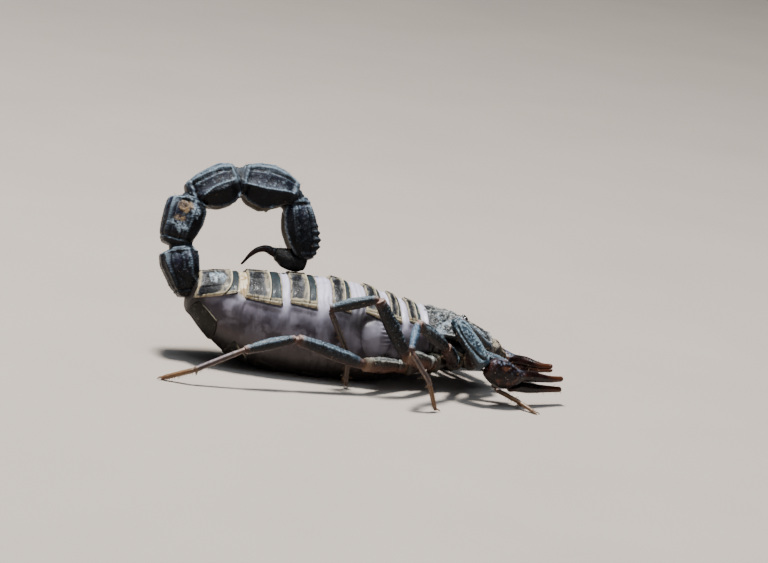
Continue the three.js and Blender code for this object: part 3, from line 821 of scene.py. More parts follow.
def joint_paint():
    """Soft skin of the leg joints: rust brown below, flesh-coloured where light falls on it."""
    paint = Paint("joint_skin", 0.45)
    cloud = paint.noise(0.6, 4)
    paint.base = paint.mix(paint.span(cloud, 0.3, 0.7), (26, 14, 11), (70, 38, 26))
    paint.lay(paint.both(paint.span("sky", 0.15, 0.8), paint.span(cloud, 0.3, 0.6, 1.0, 0.4)),
              (146, 118, 106))
    return paint.done((paint.noise(0.12), 0.04))


def flat_paint(name, dark, light, size, roughness, coat=0.0, relief=0.02):
    """One cloudy colour with fine relief."""
    paint = Paint(name, roughness, 0.5, coat)
    paint.base = paint.mix(paint.span(paint.noise(size, 4), 0.3, 0.7), dark, light)
    return paint.done((paint.noise(size * 0.2), relief))


SLATE = dict(edge=(122, 140, 153), joint=(58, 30, 21), lit=(56, 70, 82))
EBONY = dict(SLATE, joint=(14, 11, 11), lit=(30, 36, 54), shine=0.13)
LIMB = dict(SLATE, under=(44, 22, 15), sunlit_joint=(142, 116, 104), shine=0.26)
SHELLS = {
    # the tail's under colour is painted bounce light inside the dorsal trough
    "tail": dict(EBONY, dark=(6, 6, 9), bloom=(23, 19, 36), under=(66, 56, 40)),
    "telson": dict(EBONY, dark=(6, 6, 7), bloom=(13, 12, 13), under=(8, 7, 7), edge=(60, 62, 68),
                   lit=(12, 13, 16), shine=0.2, roughness=0.46, grain=0.1),
    "leg": dict(LIMB, dark=(6, 7, 10), bloom=(18, 22, 30)),
    "shin": dict(LIMB, dark=(8, 12, 18), bloom=(22, 34, 52), edge=(116, 139, 159), lit=(48, 69, 92)),
    "thigh": dict(dark=(15, 12, 11), bloom=(40, 30, 25), under=(82, 46, 28), edge=(160, 160, 152),
                  lit=(74, 80, 82), joint=(104, 76, 56), sunlit_joint=(168, 150, 124)),
    "palp": dict(dark=(10, 16, 24), bloom=(26, 38, 50), under=(12, 10, 11), edge=(146, 166, 178),
                 lit=(52, 76, 92), joint=(24, 42, 52), patch=0.8, grain=0.22),
    "carapace": dict(SLATE, dark=(9, 11, 14), bloom=(30, 36, 42), under=(8, 8, 9),
                     edge=(160, 162, 158), lit=(40, 46, 50), roughness=0.42, patch=0.9),
    "coxa": dict(SLATE, dark=(11, 9, 9), bloom=(30, 23, 20), under=(42, 26, 18),
                 edge=(160, 146, 120), lit=(52, 47, 44)),
}
PAINTS = {
    **{kind: cuticle(f"{kind}_shell", **look) for kind, look in SHELLS.items()},
    "membrane": membrane_paint(),
    "plate": plate_paint("plate", middle=(26, 29, 35), dusk=(68, 69, 71), ahead=(30, 42, 46),
                         pale=(158, 147, 122), spot=(132, 104, 62), shine=0.18),
    "sternite": plate_paint("sternite", middle=(13, 13, 10), dusk=(23, 21, 16), ahead=(18, 17, 14),
                            pale=(46, 42, 34), spot=(40, 32, 22), shine=0.2),
    "finger": finger_paint(),
    "tarsus": tarsus_paint(),
    "joint": joint_paint(),
    "tail_joint": flat_paint("tail_joint_skin", (10, 9, 9), (26, 23, 22), size=0.6, roughness=0.4),
    "eye": flat_paint("eye_lens", (6, 6, 8), (14, 13, 16), size=0.5, roughness=0.06, coat=0.6, relief=0),
    "seta": flat_paint("seta", (62, 44, 32), (120, 88, 56), size=1.0, roughness=0.4),
    "pecten": flat_paint("pecten", (44, 36, 30), (84, 70, 54), size=0.7, roughness=0.5),
}


# ---- abdomen ----------------------------------------------------------------------------

PLATES = [f"tergite_{i}" for i in range(7, 0, -1)]
PLATE_RISE = 0.6          # outer face of a dorsal plate above the skin
HEM = (0.94, 1.02)        # reach of a plate at its rear and its front, in shares of the widest one
LAST_HEM = (0.96, 0.86)   # the same on the seventh plate, which rises to the front
LAST_BACK = (0.7, 0.55)   # how far the seventh plate's ends lie behind those of its solid
NEXT_BACK = (0.3, 0.0)    # the same on the sixth
SPILLS = (0.5, 1, 1, 0.2, 0.5, 1)    # how strongly each bare band runs down the flank, rear first
BULGE_AT = 0.525          # middle of the swelling of the flank, as a share of the length
BULGE_TURN = 1.41
HOLLOW_AT = 0.475         # middle of the shaded stretch under the plates
STERNITES = {             # shares of the abdomen's length, and half-spans in radians at the two ends
    7: (0.01, 0.15, 1.72, 1.4), 6: (0.2, 0.29, 1.1, 0.75), 5: (0.3, 0.41, 0.85, 0.7),
    4: (0.48, 0.6, 0.7, 0.65), 3: (0.66, 0.77, 0.65, 0.6),
}


def beads(distance, pitch, keep=0.45):
    """Row of grains along a keel: 1 at each grain and keep between them."""
    return keep + (1 - keep) * np.abs(np.sin(np.pi * distance / pitch))


def plate_ends():
    """(rear, front) x of each dorsal plate along the middle line, seventh first."""
    ends = np.array([(cad(name).low[0], cad(name).high[0]) for name in PLATES])
    ends[:2] -= (LAST_BACK, NEXT_BACK)
    return ends


ENDS = plate_ends()


def trunk_skin():
    """Tube over the whole abdomen; its line runs midway between back and belly."""
    trunk = cad("trunk")
    xs = np.linspace(trunk.low[0] + 0.25, trunk.high[0] - 0.05, 22)
    middle = np.array([(x, 0, np.mean(trunk.heights(x, OFF_SEAM))) for x in xs])
    middle[:, 2] = blur(middle[:, 2], 1.0)
    return Skin(trunk, Line(middle, (0, 0, 1)), reach=13, spacing=0.14, span=(0.015, 1.02),
                caps=(0.7, 0.4), stations=44, columns=72, blurs=(1.0, 0.8))


def gap_share(x):
    """1 in the bare bands between dorsal plates, 0 under the plates."""
    share = ease(CAD_LOW[0] + 8, CAD_LOW[0] + 10, x)
    for rear, front in ENDS:
        share = share * (1 - window(x, rear - 0.3, rear + 0.3, front - 0.3, front + 0.3))
    return share


def plate_reach(trunk):
    """Turn of the dorsal plates' side edges, from the widest one."""
    plate = cad("tergite_4").points
    line = trunk.line
    place, _, up, side = line.at(np.interp(plate[:, 0].mean(), line.points[:, 0], line.knots))
    away = plate - place[0]
    return np.abs(np.arctan2(away @ side[0], away @ up[0])).max()


def bare_bands(x, turn, edge):
    """Pale skin that shows between the plates; down the flank it fades and slants to the rear."""
    spill = np.clip(turn - edge, 0, None)
    total = 0
    for share, (_, front), (rear, _) in zip(SPILLS, ENDS, ENDS[1:]):
        middle, half = 0.5 * (front + rear), 0.5 * (rear - front)
        total = total + share * hump(x + 1.9 * spill, middle, 0.75 * half + 1.6 * spill)
    return clamp(total)


def flank_bulge(x, turn):
    """The round swelling of each flank, the wrinkles on its front, its moat and its shadow."""
    along = (x - (CAD_LOW[0] + BULGE_AT * CAD_SIZE[0])) / 2.45
    flank = np.hypot(along, (turn - BULGE_TURN) / np.where(turn < BULGE_TURN, 0.33, 0.44))
    bulge = clamp(1 - flank ** 2) ** 0.6
    wrinkled = ease(0.05, 0.4, along) * hump(flank, 0.68, 0.3) * ease(1.62, 1.45, turn)
    rings = np.cos((turn - 1.36) * 80 + 3 * along) * wrinkled
    moat = hump(flank, 1.12, 0.17) * ease(1.4, 1.1, turn)
    shadow = 0.8 * hump(flank, 1.25, 0.3) * ease(1.45, 1.1, turn) * (flank > 1)
    return bulge, rings, moat, shadow


def add_abdomen():
    trunk = trunk_skin()
    edge = plate_reach(trunk)
    x = trunk.base[..., 0]
    ring = trunk.centre[:, :1] + 0 * x
    turn = np.abs(trunk.turn)
    ragged = noise(trunk.base * (1, 1, 0.4), 1.4, 31, 2)
    gap = gap_share(ring)
    covered = 1 - gap
    back = ease(edge + 0.1, edge - 0.1, turn)
    below = ease(edge, edge + 0.15, turn)
    pleats = noise(np.stack([x / 0.55, turn * 2.2, np.sign(trunk.turn) * 3], -1), 1, 3, 2)
    swell = 0.28 * gap * ease(edge + 0.5, edge, turn) - 0.05 * back * covered
    hem = edge * np.interp(ring, ENDS.ravel(), [*LAST_HEM, *HEM * (len(PLATES) - 1)])
    crease = hump(turn, hem + 0.025, 0.025) * covered
    shoulder = window(turn, hem - 0.12, hem - 0.04, hem, hem + 0.16)
    bulge, rings, moat, shadow = flank_bulge(x, turn)
    cross = np.sin(x * 2 * np.pi / 0.9 + 2 * noise(trunk.base, 2.0, 5)) * gap * back
    height = (
        swell - 0.08 * crease + 0.36 * shoulder * covered + 0.55 * bulge + 0.07 * rings - 0.1 * moat
        + 0.1 * pleats * (0.3 + 0.7 * below) * (1 - bulge) + 0.06 * cross
        + 0.05 * noise(trunk.base, 1.3, 8, 3) + 0.14 * noise(trunk.base, 4.5, 9)
    )
    tail_end = ease(3.3, 1.2, x - x.min())
    fall = edge + 0.42 + 0.3 * noise(np.stack([x, 0 * x, trunk.turn], -1), 2.4, 12)
    spill = bare_bands(ring + 0.5 * ragged, turn, edge) * ease(fall, edge + 0.02, turn)
    band = soften(np.where(turn < edge, gap, 0.75 * spill), 1.5, 1.5)
    (last_rear, last_front), (next_rear, _) = ENDS[:2]
    last_gap = window(ring, last_front - 0.4, last_front, next_rear, next_rear + 0.4)
    tuck = window(ring, last_rear + 1.5, last_front, last_front, next_rear)
    tuck = tuck * window(turn, hem - 0.1, hem, hem + 0.12, hem + 0.24)
    # pale: bare bands, with painted light on the bulge and the wrinkle crests
    pale = clamp(band + 0.25 * bulge + 0.45 * clamp(rings))
    dusk = ease(1.1, 1.4, turn + 0.1 * ragged) * (1 - bulge)
    hollow = hump(x, CAD_LOW[0] + HOLLOW_AT * CAD_SIZE[0], 4.4) * (1 - bulge)
    hollow = hollow * window(turn, edge - 0.26, edge - 0.14, edge + 0.18, edge + 0.42)
    # painted shade in the crease, moat, tuck, hollow and wrinkle troughs, the painted leg shadow, and the
    # dark tail base
    fold = crease + 0.6 * moat + shadow + tail_end + 0.7 * tuck + 0.85 * hollow + 0.3 * clamp(-rings)
    # painted shade along the belly, and the dark tail base
    belly = 0.94 * ease(1.85, 2.3, turn + 0.1 * ragged) + 0.85 * tail_end
    # low carries painted shade low on the flank
    form = trunk.form(height, pale=pale * (1 - tail_end), flank=dusk, fold=clamp(fold),
                      low=0.8 * ease(1.62, 2.0, turn) * (1 - 0.7 * bulge), belly=clamp(belly),
                      butter=last_gap * ease(hem + 0.1, hem - 0.05, turn))
    piece("abdomen_skin", form, "membrane", "membrane", "trunk")
    for name, ends in zip(PLATES, ENDS):
        add_tergite(trunk, name, ends, edge)
    add_sternites(trunk)


def plate_form(trunk, ends, middle, reach, relief, rise, thickness=0.5, spacing=0.11, corner=-0.05):
    """A curved plate lying on the abdomen: its rim, faces and edge as one closed mesh."""
    length = ends[1] - ends[0]
    radius = trunk.table[:, 0].mean()
    widest = np.max(reach(np.linspace(0, 1, 9)))
    way, across = sheet_grid(max(8, int(length / spacing)), max(12, int(2 * widest * radius / spacing)))
    x = 0.5 * (ends[0] + ends[1]) + (way - 0.5) * length * (1 - corner * np.abs(across) ** 5)
    s = np.interp(x, trunk.line.points[:, 0], trunk.line.knots)
    base, out = trunk.surface(s, middle + across * reach(way))
    wide = (1 - np.abs(across)) * reach(way) * radius
    deep = np.minimum(way, 1 - way) * length
    rim = np.sqrt(clamp(np.minimum(wide, deep) / 0.35))
    height, values = relief(across, way, base, wide, deep)
    top = base + out * (rise - 0.3 + 0.3 * rim + height * (0.3 + 0.7 * rim))[..., None]
    return slab(top, base + out * (rise - thickness - 0.12), values)


def add_tergite(trunk, name, ends, edge):
    """Main plate with keels and grains, the smooth fore-plate, and a folded cream hem at each side."""
    last = name.endswith("7")
    seed = int(name[-1])
    behind, before = LAST_HEM if last else HEM
    flare = 0.42 if last else 0.0

    def reach(way):
        return edge * (behind + (before - behind) * way) + flare * (1 - way) ** 1.3

    def relief(across, way, place, wide, deep):
        side = np.abs(across)
        run = way * (ends[1] - ends[0])
        split = (0.74 if last else 0.66) + 0.04 * across ** 2 - (0.2 if last else 0.1) * side ** 7
        ahead = ease(split, split + 0.05, way)
        main = 1 - ahead
        line = hump(way, split, 0.022)
        wedge = 0.14 if last else 0.15 + 0.42 * way
        hem = ease(wedge, wedge - 0.08, wide)
        crease = hump(wide, wedge + 0.05, 0.06) * (0.3 if last else 1.0)
        median = hump(across, 0, 0.035) * beads(run, 0.42) * main
        sides = (hump(side, 0.42, 0.03) + last * hump(side, 0.68, 0.03)) * beads(run, 0.42)
        sides = sides * main * ease(0.0, 0.5, split - way + 0.1)
        lip = hump(way, 0.03, 0.03) * beads(across * 10, 0.5, 0.6)
        grains = pebbles(place, 0.42, seed, 0.5) * main * ease(0.9, 0.1, way / split)
        height = (
            -0.2 * ahead * (1 - hem) + 0.1 * line + 0.16 * median + 0.12 * sides + 0.14 * lip
            + 0.1 * grains + 0.05 * noise(place * (1, 0.5, 0.5), 0.9, seed, 3)
            - 0.06 * hump(way, split + 0.06, 0.03) - 0.2 * crease
        )
        fleck = noise(place, 0.6, seed + 40, 3)
        border = np.maximum(ease(wedge + 0.75, wedge + 0.1, wide), ease(0.4, 0.05, deep))
        shade = ease(0.35, 0.75, border + 0.45 * fleck) * (border > 0.02)
        blot = hump(way, 0.32 + 0.14 * noise(place, 2.0, seed + 50), 0.17) * main
        blot = blot * ease(wedge + 0.1, wedge + 0.7, wide)
        wash = hump(way, split - 0.08, 0.1) + 0.8 * noise(place, 0.9, seed + 60, 3)
        wash = 0.5 * ease(0.3, 0.8, wash) * main * ease(0.9, 0.4, hump(way, 0.32, 0.14))
        scar = hump(across, 0.34, 0.26) * hump(way, 0.42, 0.24) * last
        streaks = noise(place * (1.9, 0.6, 0.6), 0.75, 77, 3)
        scar = 0.85 * ease(0.42, 0.72, scar + 0.8 * streaks) * (scar > 0.15)
        # crease carries painted shade in the fold under the hem
        return height, {
            "margin": np.maximum(np.maximum(shade, wash), 0.85 * hem), "scar": scar,
            "line": clamp(0.95 * line + 0.2 * median), "ahead": ahead * (1 - hem),
            "blot": ease(0.25, 0.7, blot + 0.35 * fleck * blot) * (1 - scar), "crease": 0.95 * crease,
        }

    form = plate_form(trunk, ends, 0, reach, relief, rise=PLATE_RISE)
    piece(f"{name}_plate", form, "plate", "plate", name)


def add_sternites(trunk):
    """Belly plates of the third to seventh segments; the last one wraps up to the sides."""
    for number, (rear, front, wide, narrow) in STERNITES.items():
        def reach(way, wide=wide, narrow=narrow):
            return wide + (narrow - wide) * way

        def relief(across, way, place, far, deep, number=number):
            keel = hump(np.abs(across), 0.35, 0.03) * (number == 7) * beads(way * 5, 0.4)
            rim = np.maximum(ease(0.35, 0.0, far), ease(0.3, 0.0, deep))
            height = 0.12 * keel + 0.05 * rim + 0.02 * noise(place, 0.8, number, 3)
            upper = ease(0.3, 0.05, far) * ease(0.1, 0.4, way)
            return height, {"margin": 0.5 * rim, "line": upper * {7: 0.9, 6: 0.5}.get(number, 0)}

        ends = trunk.line.points[0, 0] + np.array([rear, front]) * trunk.line.length
        form = plate_form(trunk, ends, np.pi, reach, relief, rise=0.2, thickness=0.2, spacing=0.16,
                          corner=0.35)
        piece(f"sternite_{number}_plate", form, "plate", "sternite")


# ---- prosoma ----------------------------------------------------------------------------

NECK, SNOUT = cad("trunk").high[0], cad("prosoma").high[0]   # x of the prosoma's two ends
EYE_X = 0.5 * (cad("eye_left").low + cad("eye_left").high)[0]
SHIELD = (NECK - 0.25, SNOUT + 0.15)     # x of the head shield's rear and front edge
SHIELD_DROP = (3.1, 2.1)                 # how far its sides lie below its crest at the two ends
SHIELD_CURVE = 2.4                       # how late they fall
BREAST = np.array([NECK, 0, 3.3])        # from which the plates and combs below are placed


def carapace_width(x):
    """Half-width of the head shield at x."""
    t = clamp((x - NECK) / (cad("eye_left").high[0] + 4.6 - NECK))
    return 5.75 - 0.55 * ease(0, 0.5, t) - 1.75 * ease(0.35, 1.0, t)


def shield_crest(x):
    """Height of the solid's back along the middle line, without the mound of the eyes."""
    rear, front = SHIELD
    xs = np.linspace(rear, front - 0.3, 20)
    behind = rear + 0.7                   # the solid starts a little ahead of the shield's rear edge
    ridge = [cad("prosoma").heights(max(k, behind), 0)[1] for k in xs]
    seat = clamp(1 - ((xs - EYE_X) / 2.2) ** 2)
    return np.interp(x, xs, blur(np.array(ridge) - 0.5 * seat, 0.8))


def shield_point(x, across):
    """Point of the bare shield at x, at that share of the way across from the middle line."""
    drop = np.interp(x, SHIELD, SHIELD_DROP) * np.abs(across) ** SHIELD_CURVE
    return np.stack([x, across * carapace_width(x), shield_crest(x) - drop], -1)


def add_carapace():
    """Granular head shield with a furrow, keels and the raised seat of the median eyes."""
    rear, front = SHIELD
    way, across = sheet_grid(96, 132)
    side = np.abs(across)
    notch = 0.25 * np.cos(across * np.pi / 2) ** 2
    x = rear + (front - rear - notch * way ** 6) * way - 0.54 * way ** 8 * side ** 4
    place = shield_point(x, across)
    y = place[..., 1]
    furrow = hump(y, 0, 0.28) * (1 - hump(x, EYE_X, 1.2))
    lyre = hump(np.abs(y), 1.5 + 0.8 * np.cos((x - rear) * 0.9), 0.2) * ease(EYE_X, EYE_X - 1.0, x)
    brow = hump(np.abs(y), 0.78 + 0.32 * np.abs(x - EYE_X), 0.2) * hump(x, EYE_X + 0.6, 2.2)
    side_keel = hump(side, 0.72, 0.05) * ease(0.2, 0.4, way)
    rim = np.maximum(hump(way, 0.985, 0.02), np.maximum(hump(way, 0.015, 0.015), hump(side, 0.975, 0.02)))
    mound = clamp(1 - np.hypot((x - EYE_X) / 1.5, y / 1.05) ** 2) ** 0.8
    cross = hump(x, EYE_X - 2.4 - 0.12 * y ** 2, 0.22) * (side < 0.8)
    grains = pebbles(place, 0.5, 2, 0.7)
    keels = clamp(lyre + brow + 0.8 * side_keel) * beads(x + y, 0.42, 0.5)
    height = (
        -0.36 * furrow + 0.34 * keels + 0.18 * rim * beads(x + y, 0.35, 0.6) + 0.62 * mound
        - 0.24 * cross + 0.18 * grains + 0.07 * pebbles(place, 0.26, 3, 0.7)
        + 0.2 * noise(place, 2.2, 6)
    )
    top = place + np.stack([0 * x, 0.55 * across * height, height], -1)
    under = place - np.stack([0 * x, 0.35 * across, 0 * x + 0.45], -1)
    dapple = ease(0.0, 0.22, noise(place, 2.0, 14, 2)) * (1 - mound)
    chalk = ease(0.05, 0.3, noise(place, 1.9, 19, 2)) * (1 - dapple) * (1 - mound)
    # under: dark dapples, and painted shade in the furrow and along the side edges
    form = slab(top, under, {
        "ridge": clamp(0.8 * keels + 0.7 * rim + 0.45 * grains * (1 - 0.8 * dapple)),
        "scuff": 0.8 * chalk, "gloom": 0.6 * dapple,
        "under": clamp(0.9 * dapple + 0.8 * furrow + 0.6 * hump(side, 1.0, 0.12)),
    })
    piece("carapace_shield", form, "carapace", "carapace")
    eyes = [
        ball(shield_point(front - 0.75 - 0.55 * k, 0.93 * sign) + (0, 0, 0.1), (0.17, 0.2, 0.2), 8, 12)
        for sign in SIDES.values() for k in range(3)
    ]
    piece("lateral_eyes", joined(eyes), "eye", "eye")


def add_median_eyes():
    for side, sign in SIDES.items():
        solid = cad(f"eye_{side}")
        centre = 0.5 * (solid.low + solid.high) + (0, sign * 0.02, 0)
        lens = ball(centre, (0.5, 0.5, 0.5), 20, 28, axis=(0, sign, 0.5))
        piece(f"eye_{side}_lens", lens, "eye", "eye", f"eye_{side}")


def round_off(s, length, reach):
    """Share of the full width at each distance along a piece with rounded ends."""
    return np.sqrt(clamp(np.minimum(s, length - s) / reach))[:, None]


def square(v):
    """Makes a round section a little squarer."""
    return np.sign(v) * np.abs(v) ** 0.8


def add_underbody():
    """Leg bases, breastplate and the soft flank under the head shield, in place of the solid."""
    coxae = [coxa_form(leg, side, sign) for side, sign in SIDES.items() for leg in LEGS]
    piece("leg_bases", joined(coxae), "limb", "coxa")
    rear, front = NECK - 0.8, SNOUT - 0.1
    line = Line([(x, 0, 6.9 - 0.12 * (x - rear)) for x in np.linspace(rear, front, 12)], (0, 0, 1))
    s = np.linspace(0, line.length, 60)
    place, _, up, side_way = line.at(s)
    x = place[:, :1]
    upright, outward = np.cos(turns_of(64)), np.sin(turns_of(64))
    high = np.interp(x, [rear, front], [3.4, 1.9])
    low = np.interp(x, [rear, NECK + 6.9, front], [2.6, 2.9, 1.2])
    lift = np.where(upright > 0, high, low) * square(upright)
    reach = 0.84 * carapace_width(x) * square(outward) * np.where(upright > -0.2, 1, 0.75)
    fold = 0.12 * np.sin(x * 5 + 3 * np.abs(outward)) \
        + 0.1 * noise(np.stack([x + 0 * upright, reach, lift], -1), 1.2, 4, 2)
    shrink = round_off(s, line.length, 0.7)
    rings = place[:, None] + up[:, None] * (lift * shrink)[..., None] \
        + side_way[:, None] * ((reach + fold * np.sign(outward)) * shrink)[..., None]
    piece("flank_skin", tube(rings, place[[0, -1]]), "membrane", "tail_joint", "prosoma")
    plates = [ball(BREAST + (5.5, 0, 0), (1.5, 1.1, 0.5), 12, 18, axis=(1, 0, 0))]
    for sign in SIDES.values():
        lid = BREAST + (2.5, sign * 0.75, -0.1)
        plates.append(ball(lid, (1.0, 0.9, 0.55), 12, 18, axis=(1, 0.3 * sign, 0)))
    piece("breast_plates", joined(plates), "plate", "sternite")


def coxa_form(leg, side, sign):
    """Wedge from the breast to the hip, with a keel in front and a pale granular outer rim."""
    hip = meeting("prosoma", f"leg_{leg}_{side}_femur")
    start = BREAST + (5.1 + (2.5 - leg) * 1.1, 0.9 * sign, 1.1)
    line = Line([start, hip + unit(hip - start) * 0.25], (0, 0, 1))
    t = np.linspace(0, 1, 40)
    s = (t * line.length)[:, None]
    place, _, up, side_way = line.at(t * line.length)
    turn = turns_of(36)
    shrink = round_off(t * line.length, line.length, 0.4)
    wide = np.interp(t, [0, 0.5, 0.9, 1], [0.85, 1.1, 1.22, 1.0])[:, None] * shrink
    high = np.interp(t, [0, 0.5, 0.9, 1], [0.95, 1.3, 1.42, 1.15])[:, None] * shrink
    base = place[:, None] + up[:, None] * (square(np.cos(turn)) * high)[..., None] \
        + side_way[:, None] * (square(np.sin(turn)) * wide)[..., None]
    rim = hump(s, line.length - 0.5, 0.13)
    grains = pebbles(base, 0.36, leg, 0.6)
    keel = rib(turn, 0.8, 0.2) * beads(s, 0.38)
    height = 0.14 * rim * beads(turn * 3, 0.7, 0.6) + 0.07 * grains + 0.12 * keel
    rings = base + spokes(up, side_way, turn) * (height * shrink)[..., None]
    return tube(rings, place[[0, -1]], ridge=clamp(rim + 0.4 * grains + 0.5 * keel),
                under=0.5 * (np.cos(turn) < 0.2))


def add_pectines():
    """The two combs under the body, each a jointed shaft with a row of blunt teeth."""
    forms = []
    for sign in SIDES.values():
        root = BREAST + (2.5, sign * 1.2, -0.8)
        tip = BREAST + (0.1, sign * 5.6, -1.3)
        forms.append(horn([root, 0.5 * (root + tip) + (0.25, 0, 0), tip], [0.5, 0.45, 0.3], sides=10))
        for share in np.linspace(0, 1, 20):
            at = root + (tip - root) * (0.08 + 0.9 * share)
            end = at + (1.2 - 0.4 * share) * np.array([-0.75, sign * 0.2, -0.4])
            forms.append(horn([at, 0.5 * (at + end), end], [0.16, 0.2, 0.18, 0.1], steps=8))
    piece("pectines", joined(forms), "plate", "pecten")


def add_chelicerae():
    """Jaws: a swollen base that carries a fixed and a hooked movable finger."""
    for side, sign in SIDES.items():
        name = f"chelicera_{side}"
        points = spine(cad(name), meeting("prosoma", name), 8)
        skin = Skin(cad(name), Line(points, (0, 0, 1)), reach=2.2, spacing=0.09, span=(0.04, 0.72),
                    caps=(0.4, 0.35), stations=12, columns=32)
        grains = pebbles(skin.base, 0.34, 5, 0.5)
        rim = hump(skin.t, 0.62, 0.05)
        crown = 0.42 * hump(skin.turn, 0, 1.1) * ease(0.8, 0.45, skin.t)
        parts = [skin.form(crown + 0.05 * grains + 0.08 * rim, ridge=0.4 * grains, joint=0.4 * rim)]
        tip, root = points[-1], points[int(0.62 * len(points))]
        away = unit(tip - points[len(points) // 2])
        for lift, bow in ((0.42, 0.3), (-0.3, -0.25)):
            bend = root + away * 1.1 + (0, sign * 0.1, lift + bow)
            end = tip + away * 0.35 + (0, -sign * 0.1, 0.3 * lift)
            parts.append(horn([root + (0, 0, lift), bend, end], [0.42, 0.36, 0.24, 0.07], joint=0.9))
            for k in range(3):
                at = root + (end - root) * (0.45 + 0.18 * k) + (0, 0, 0.75 * lift)
                tooth = [at, at - (0, 0, 0.35 * np.sign(lift))]
                parts.append(horn(tooth, [0.13, 0.03], steps=5, joint=0.6))
        piece(f"{name}_jaw", joined(parts), "carapace", "coxa", name)


# ---- tail -------------------------------------------------------------------------------

TAIL = [f"metasoma_{i}" for i in range(1, 6)]
KEELS = {                 # where each pair stands on the cross-section: how far across and up
    "crest": (0.66, 1.0), "upper": (1.0, 0.3), "middle": (0.86, -0.2), "lower": (0.7, -0.84),
    "ventral": (0.3, -1.0),
}
KEEL_STRENGTH = {         # of the same pairs, by segment
    1: (1, 1, 0.6, 0.7, 0.5), 2: (1, 1, 0.4, 0.9, 0.6), 3: (1, 1.1, 0.15, 1, 0.6),
    4: (1, 1.1, 0.1, 1, 0.5), 5: (0.7, 0.5, 0.1, 1, 0.9),
}
UPPER_SHIFT = {1: (0.0, 0.0), 2: (0.22, 0.16), 3: (0.0, 0.5), 4: (0.28, 0.34), 5: (0.0, 0.0)}
TOOTH_AT = {1: 0.88, 2: 0.9, 3: 0.9, 4: 0.62}    # the strong tooth of each crest, along the segment
SOILED = 2                # the segment with loose sand and a scratched flank


def end_rims(t, first, last):
    return np.maximum(hump(t, first, 0.03), hump(t, last, 0.03))


def keel_turns(skin, number):
    """Turn of each pair of keels at each ring, from the segment's own width and depths."""
    table = blur(skin.table, 1.0)
    quarter = table.shape[1] // 4

    def rings(column, share):
        return np.interp(skin.s, skin.stations, table[:, column] / share)[:, None]

    wide, above, below = rings(quarter, 0.97), rings(0, 0.74), rings(2 * quarter, 0.94)
    at = {
        name: np.arctan2(across * wide, height * (above if height > 0 else below))
        for name, (across, height) in KEELS.items()
    }
    near, far = UPPER_SHIFT[number]
    at["upper"] = at["upper"] + near + (far - near) * ease(0.0, 0.6, skin.t)
    return at


def tail_teeth(skin, number, at, thin):
    """Lobes along the lower keels of the fifth segment, one strong tooth on the others' crests."""
    if number < 5:
        return 0.5 * hump(skin.t, TOOTH_AT[number], 0.028) * rib(skin.turn, at["crest"], 1.2 * thin)
    wave = np.abs((skin.mm / 1.15) % 1 - 0.5) * 2
    lobes = (1 - wave) ** 1.3 * window(skin.t, 0.3, 0.75, 0.93, 0.99)
    return 0.55 * lobes * (rib(skin.turn, at["lower"], 1.3 * thin) + rib(skin.turn, at["ventral"], thin))


